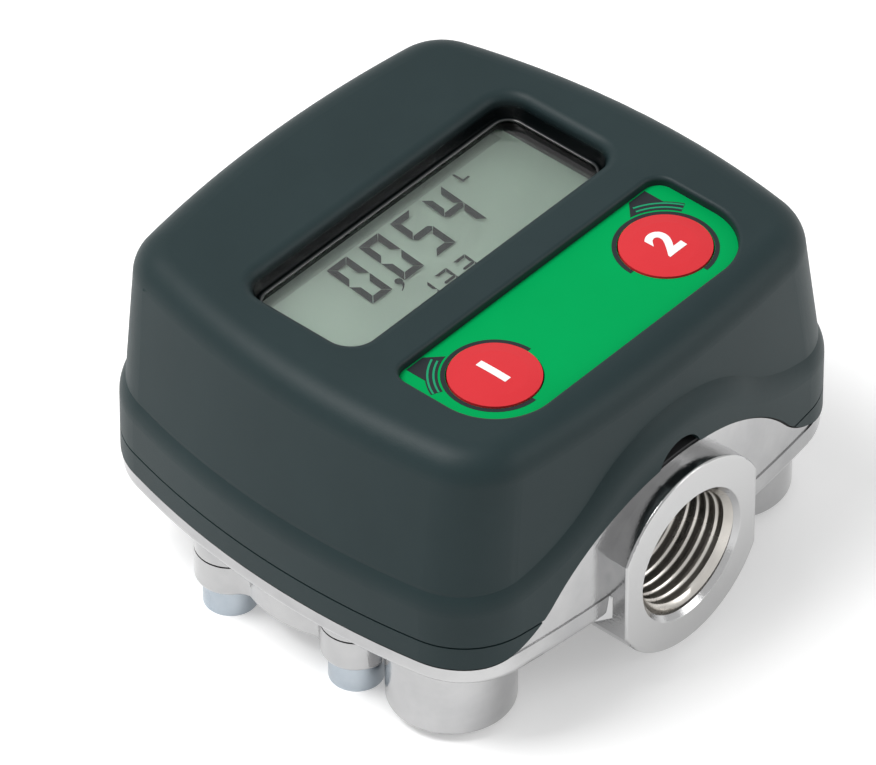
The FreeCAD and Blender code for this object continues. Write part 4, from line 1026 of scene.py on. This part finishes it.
@dataclass
class Display:
    """The display's front glass and the marks that it shows."""

    bench: Bench
    panel: tuple
    glass_half_width: float = 27.2 * MM
    glass_thickness: float = 0.35 * MM
    glass_front: float = 3.7 * MM
    glass_rear: float = 2.95 * MM
    ink: float = 0.04 * MM
    row_left: float = -13.0 * MM
    row_height: float = 10.35 * MM
    small_left: float = -8.2 * MM
    small_height: float = 0.35 * MM
    comma_place: tuple = (-9.35 * MM, 5.8 * MM)
    comma_size: float = 1.3 * MM
    comma_corners: int = 24
    tail_spread: float = 30.0
    tail_steps: int = 4
    tail_drift: float = 0.3
    tail_length: float = 0.45
    tail_taper: float = 0.8
    unit_place: tuple = (14.3 * MM, 13.6 * MM)
    unit_size: tuple = (1.5 * MM, 2.2 * MM)
    unit_stroke: float = 0.36 * MM
    unit_foot: float = 0.4 * MM

    def build(self) -> None:
        """Builds the glass, both rows of figures, the comma and the unit."""
        top = self.panel[1][2]
        front, rear = self.panel[0][1] + self.glass_front, self.panel[1][1] - self.glass_rear
        glass = self.bench.block(
            (2 * self.glass_half_width, rear - front, self.glass_thickness),
            (0.0, (front + rear) / 2, top + self.glass_thickness / 2),
        )
        self.bench.modify(glass, "BEVEL", width=self.ink, segments=1)
        self.bench.finish(glass, "display_glass", "display_film")
        level = top + self.glass_thickness + self.ink / 2
        large = Figures(self.bench, "0054", width=4.4 * MM, height=10.1 * MM, stroke=1.2 * MM,
                        pitch=7.12 * MM, lean=1.0 * MM, gap=0.1 * MM, thickness=self.ink)
        large.build("figure", (self.row_left, self.row_height, level))
        small = Figures(self.bench, "133", width=2.6 * MM, height=4.4 * MM, stroke=0.5 * MM,
                        pitch=4.2 * MM, lean=0.5 * MM, gap=0.06 * MM, thickness=self.ink)
        small.build("small_figure", (self.small_left, self.small_height, level))
        self.comma(level)
        self.unit(level)

    def comma(self, level: float) -> None:
        """Models the decimal comma: a round dot whose tail is drawn out and turned.

        Args:
            level: Height of the marks.
        """
        self.bench.clear()
        radius = self.comma_size / 2
        bpy.ops.mesh.primitive_cylinder_add(vertices=self.comma_corners, radius=radius,
                                            depth=self.ink, location=(0.0, 0.0, 0.0))
        dot = bpy.context.active_object
        foot = radius * math.cos(math.radians(self.tail_spread))
        self.bench.pick(dot, Element.FACE, lambda middle: middle.y < -foot)
        for step in range(self.tail_steps):
            bpy.ops.mesh.extrude_region_move(TRANSFORM_OT_translate={
                "value": (-radius * self.tail_drift * step, -radius * self.tail_length, 0.0)})
            bpy.ops.transform.resize(value=(self.tail_taper, 1.0, 1.0))
        self.bench.leave()
        self.bench.shift(dot, Matrix.Translation((*self.comma_place, level)))
        self.bench.finish(dot, "decimal_comma", "lcd_ink")

    def unit(self, level: float) -> None:
        """Models the unit's mark: an upright whose foot is drawn out to the right.

        Args:
            level: Height of the marks.
        """
        width, height = self.unit_size
        mark = self.bench.block((self.unit_stroke, height - self.unit_stroke, self.ink),
                                (0.0, (height + self.unit_stroke) / 2, 0.0))
        self.bench.pick(mark, Element.FACE, lambda middle: middle.y < self.unit_foot)
        bpy.ops.mesh.extrude_region_move(TRANSFORM_OT_translate={
            "value": (0.0, -self.unit_stroke, 0.0)})
        self.bench.leave()
        self.bench.pick(mark, Element.FACE,
                        lambda middle: middle.x > 0.0 and middle.y < self.unit_stroke)
        bpy.ops.mesh.extrude_region_move(TRANSFORM_OT_translate={
            "value": (width - self.unit_stroke, 0.0, 0.0)})
        self.bench.leave()
        self.bench.shift(mark, Matrix.Translation((*self.unit_place, level)))
        self.bench.finish(mark, "unit_mark", "lcd_ink")


class Side(Enum):
    """The two sides of the keypad."""

    LEFT = -1
    RIGHT = 1


@dataclass
class Keypad:
    """Print on the keypad label and marks on its two buttons."""

    bench: Bench
    label: tuple
    ring_inner: float = 7.35 * MM
    ring_outer: float = 8.05 * MM
    ring_start: float = -90.0
    ring_sweep: float = 270.0
    ring_step: float = 5.0
    print_thickness: float = 0.04 * MM
    wedge_reach: float = 7.6 * MM
    wedge_inner: float = 8.4 * MM
    wedge_slant: float = 44.0
    wedge_slant_place: float = 4.0 * MM
    edge_margin: float = 0.25 * MM
    arc_radii: tuple = (8.85 * MM, 9.75 * MM)
    arc_width: float = 0.32 * MM
    arc_start: float = 24.0
    arc_sweep: float = 46.0
    arc_thickness: float = 0.06 * MM
    crescent_outer: float = 10.3 * MM
    crescent_thickness: float = 0.03 * MM
    hollow_corners: int = 96
    mark_height: float = 7.6 * MM
    mark_bold: float = 0.266 * MM
    mark_thickness: float = 0.05 * MM
    mark_lift: float = 0.0125 * MM
    mark_cuts: int = 3

    def ring(self, inner: float, outer: float, start: float, sweep: float,
             height: float) -> bpy.types.Object:
        """Models part of a flat ring about the upright axis.

        Args:
            inner: Inner radius.
            outer: Outer radius.
            start: Angle of its first end, in degrees.
            sweep: Angle that it covers, in degrees.
            height: Its thickness.

        Returns:
            The ring, its underside at height 0.
        """
        bench = self.bench
        centre = ((outer + inner) / 2, height / 2, height / 2)
        ring = bench.block((outer - inner, height, height), centre)
        bench.pick(ring, Element.FACE, lambda middle: middle.y > height - WELD)
        bpy.ops.mesh.spin(steps=int(sweep / self.ring_step), angle=math.radians(sweep),
                          center=(0.0, 0.0, 0.0), axis=(0.0, 0.0, 1.0))
        bench.leave()
        bench.heal(ring)
        return bench.shift(ring, Matrix.Rotation(math.radians(start + sweep), 4, "Z"))

    def wedge(self, button_height: float) -> bpy.types.Object:
        """Models the dark corner on the right: a slanted block, hollowed round the button.

        Args:
            button_height: The button's place up the label.

        Returns:
            The corner, about the button's middle, its underside at height 0.
        """
        bench = self.bench
        rear = self.label[1][1] - self.edge_margin - button_height
        size = (self.wedge_reach, rear, self.print_thickness)
        wedge = bench.block(size, (self.wedge_reach / 2, rear / 2, self.print_thickness / 2))
        slant = math.radians(self.wedge_slant)
        bpy.ops.object.mode_set(mode="EDIT")
        bpy.ops.mesh.select_all(action="SELECT")
        bpy.ops.mesh.bisect(plane_co=(self.wedge_slant_place, rear, 0.0),
                            plane_no=(-math.sin(slant), math.cos(slant), 0.0),
                            clear_outer=True, use_fill=True)
        bench.leave()
        bench.clear()
        bpy.ops.mesh.primitive_cylinder_add(vertices=self.hollow_corners, radius=self.wedge_inner,
                                            depth=4 * self.print_thickness)
        round_cut = bpy.context.active_object
        bench.modify(wedge, "BOOLEAN", operation="DIFFERENCE", object=round_cut, solver="EXACT")
        bench.drop(round_cut)
        return wedge

    def prints(self, button_height: float) -> list[tuple[str, bpy.types.Object, str]]:
        """Models what is printed round a button, on the right.

        Args:
            button_height: The button's place up the label.

        Returns:
            Name, pattern and finish of each print, about the button's middle.
        """
        ring = self.ring(self.ring_inner, self.ring_outer, self.ring_start, self.ring_sweep,
                         self.print_thickness)
        corner = self.wedge(button_height)
        crescent = self.ring(self.wedge_inner, self.crescent_outer, self.arc_start,
                             self.arc_sweep, self.crescent_thickness)
        prints = [("ring", ring, "print_black"), ("corner", corner, "print_black"),
                  ("crescent", crescent, "print_black")]
        for number, radius in enumerate(self.arc_radii, start=1):
            arc = self.ring(radius, radius + self.arc_width, self.arc_start, self.arc_sweep,
                            self.arc_thickness)
            prints.append((f"arc_{number}", arc, "print_green"))
        return prints

    def build(self) -> None:
        """Builds the print round both buttons and the marks on them."""
        tops = {}
        for side in Side:
            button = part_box(f"button_{side.name.lower()}")
            middle = (Vector(button[0]) + Vector(button[1])) / 2
            tops[side] = Vector((middle.x, middle.y, button[1][2]))
        prints = self.prints(tops[Side.RIGHT].y)
        for number, (side, top) in enumerate(tops.items(), start=1):
            word = side.name.lower()
            mirror = Matrix.Scale(float(side.value), 4, (1.0, 0.0, 0.0))
            place = Matrix.Translation((top.x, top.y, self.label[1][2])) @ mirror
            for name, pattern, finish in prints:
                piece = self.bench.shift(self.bench.copy(pattern), place)
                self.bench.heal(piece)
                self.bench.finish(piece, f"{name}_{word}", finish)
            self.mark(word, str(number), top)
        for _, pattern, _ in prints:
            self.bench.drop(pattern)

    def mark(self, word: str, text: str, top: Vector) -> None:
        """Prints a numeral on a button and lays it on the button's dome.

        Args:
            word: Which button, left or right.
            text: The numeral.
            top: Middle of the button's face.
        """
        self.bench.clear()
        bpy.ops.object.text_add(location=(0.0, 0.0, 0.0))
        letters = bpy.context.active_object
        letters.data.body = text
        letters.data.align_x, letters.data.align_y = "CENTER", "CENTER"
        letters.data.size = self.mark_height
        letters.data.offset = self.mark_bold
        bpy.ops.object.convert(target="MESH")
        numeral = bpy.context.active_object
        self.bench.shift(numeral, Matrix.Translation(top + Vector((0.0, 0.0, self.mark_thickness))))
        self.bench.heal(numeral)
        self.bench.modify(numeral, "SUBSURF", subdivision_type="SIMPLE", levels=self.mark_cuts)
        self.bench.modify(numeral, "SHRINKWRAP", target=bpy.data.objects[f"button_{word}"],
                          wrap_method="PROJECT", use_project_z=True, use_negative_direction=True,
                          use_positive_direction=True, offset=self.mark_lift)
        self.bench.modify(numeral, "SOLIDIFY", thickness=self.mark_thickness, offset=1.0)
        self.bench.finish(numeral, f"numeral_{word}", "print_white", f"button_{word}_set")


@dataclass
class WindowTrim:
    """Polished bead where the window's wall meets the lens."""

    bench: Bench
    lens: tuple
    half_width: float = 28.9 * MM
    front: float = -2.4 * MM
    rear: float = 17.9 * MM
    corner: float = 3.1 * MM
    width: float = 0.6 * MM
    height: float = 0.5 * MM
    corner_steps: int = 12
    edge_radius: float = 0.2 * MM
    edge_steps: int = 3
    edge_angle: float = 40.0

    def build(self) -> None:
        """Builds the bead: a round-cornered plate, inset, opened and rounded along its top."""
        bench = self.bench
        level = self.lens[1][2]
        bead = bench.block((2 * self.half_width, self.rear - self.front, self.height),
                           (0.0, (self.front + self.rear) / 2, level + self.height / 2))
        bench.pick(bead, Element.EDGE, lambda middle: abs(middle.x) > self.half_width - self.corner
                   and min(abs(middle.y - self.front), abs(middle.y - self.rear)) < self.width)
        bpy.ops.mesh.bevel(offset=self.corner, segments=self.corner_steps, affect="EDGES")
        bench.leave()
        bench.pick(bead, Element.FACE, lambda middle: abs(middle.x) < self.width and (
            abs(middle.z - level) < WELD or abs(middle.z - level - self.height) < WELD))
        bpy.ops.mesh.inset(thickness=self.width, use_even_offset=True)
        bpy.ops.mesh.bridge_edge_loops()
        bench.leave()
        bench.heal(bead)
        bench.modify(bead, "BEVEL", width=self.edge_radius, segments=self.edge_steps,
                     angle_limit=math.radians(self.edge_angle))
        bench.finish(bead, "window_bead", "bezel_black")


@dataclass(frozen=True)
class Lamp:
    """One soft box aimed at the meter."""

    name: str
    place: tuple
    watts: float
    side: float = 0.8

    def hang(self) -> None:
        """Adds the lamp to the scene."""
        data = bpy.data.lights.new(self.name, "AREA")
        data.energy = self.watts
        data.size = self.side
        lamp = bpy.data.objects.new(self.name, data)
        lamp.location = self.place
        lamp.rotation_euler = (-Vector(self.place)).to_track_quat("-Z", "Y").to_euler()
        bpy.context.scene.collection.objects.link(lamp)


@dataclass
class Studio:
    """Floor, lights, world and camera."""

    lamps: tuple = (Lamp("key", (-0.6, 0.5, 1.4), 21.0), Lamp("fill", (0.9, -1.3, 0.7), 6.0))
    azimuth: float = 48.8
    elevation: float = 41.4
    roll: float = 0.1
    distance: float = 1.8034
    lens: float = 493.15
    sensor: float = 36.0
    near: float = 0.1
    far: float = 30.0
    aim: tuple = (0.005302, -0.006746)
    base: tuple = (0.0, -0.00085, 0.019)
    floor_side: float = 12.0
    floor_grey: float = 0.86
    floor_glow: float = 0.3
    sky: float = 0.5
    sky_glow: float = 0.3

    def camera(self) -> bpy.types.Object:
        """Makes the long-lens camera and turns it on the meter.

        Returns:
            The camera.
        """
        angles = (self.azimuth, self.elevation, self.roll)
        turn, rise, roll = (math.radians(angle) for angle in angles)
        right = Vector((math.cos(turn), -math.sin(turn), 0.0))
        level = Vector((-math.sin(turn), -math.cos(turn), 0.0))
        back = level * math.cos(rise) + Vector((0.0, 0.0, math.sin(rise)))
        up = back.cross(right)
        right_rolled = right * math.cos(roll) + up * math.sin(roll)
        up_rolled = up * math.cos(roll) - right * math.sin(roll)
        data = bpy.data.cameras.new("camera")
        data.lens = self.lens
        data.sensor_width = self.sensor
        data.clip_start = self.near
        data.clip_end = self.far
        camera = bpy.data.objects.new("camera", data)
        bpy.context.scene.collection.objects.link(camera)
        turned = Matrix((right_rolled, up_rolled, back)).transposed().to_4x4()
        aside = right_rolled * self.aim[0] + up_rolled * self.aim[1]
        place = back * self.distance - aside + Vector(self.base)
        camera.matrix_world = Matrix.Translation(place) @ turned
        bpy.context.scene.camera = camera
        return camera

    def floor(self) -> None:
        """Makes the pale floor: a little lighter to the eye than to the light, clear from below."""
        bpy.ops.mesh.primitive_plane_add(size=self.floor_side, location=(0.0, 0.0, 0.0))
        plane = bpy.context.active_object
        plane.name = "floor"
        graph = Graph("floor_white")
        colour = (self.floor_grey, self.floor_grey, self.floor_grey, 1.0)
        matt = graph.node("ShaderNodeBsdfDiffuse", None, {"Color": colour})["BSDF"]
        strength = graph.seen() * self.floor_glow
        glow = graph.node("ShaderNodeEmission", None, {"Strength": strength})["Emission"]
        upper = graph.node("ShaderNodeAddShader", None, {0: matt, 1: glow})["Shader"]
        under = graph.node("ShaderNodeBsdfTransparent")["BSDF"]
        back = graph.node("ShaderNodeNewGeometry")["Backfacing"]
        both = graph.node("ShaderNodeMixShader", None, {0: back, 1: upper, 2: under})["Shader"]
        graph.node("ShaderNodeOutputMaterial", None, {"Surface": both})
        plane.data.materials.append(graph.material)

    def light(self) -> None:
        """Sets the world and the soft boxes."""
        graph = Graph("studio", "worlds")
        strength = graph.seen() * self.sky_glow + self.sky
        values = {"Color": (1.0, 1.0, 1.0, 1.0), "Strength": strength}
        background = graph.node("ShaderNodeBackground", None, values)["Background"]
        graph.node("ShaderNodeOutputWorld", None, {"Surface": background})
        bpy.context.scene.world = graph.material
        for lamp in self.lamps:
            lamp.hang()
        bpy.context.scene.view_settings.view_transform = "Standard"


def main() -> None:
    """Builds the dressed meter around the frame."""
    logging.basicConfig(level=logging.INFO, format="%(message)s")
    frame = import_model()
    workshop = Workshop()
    workshop.dress_nodes(frame)
    bench = Bench(workshop)
    ports = {mount["name"]: mount for mount in frame["record"]["mounts"]}
    PortThreads(bench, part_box("meter_body"), ports["inlet_port"]["pos_m"][2]).build()
    Display(bench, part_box("lcd_panel")).build()
    Keypad(bench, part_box("keypad_label")).build()
    WindowTrim(bench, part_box("display_lens")).build()
    studio = Studio()
    studio.floor()
    studio.light()
    studio.camera()


if __name__ == "__main__":
    main()
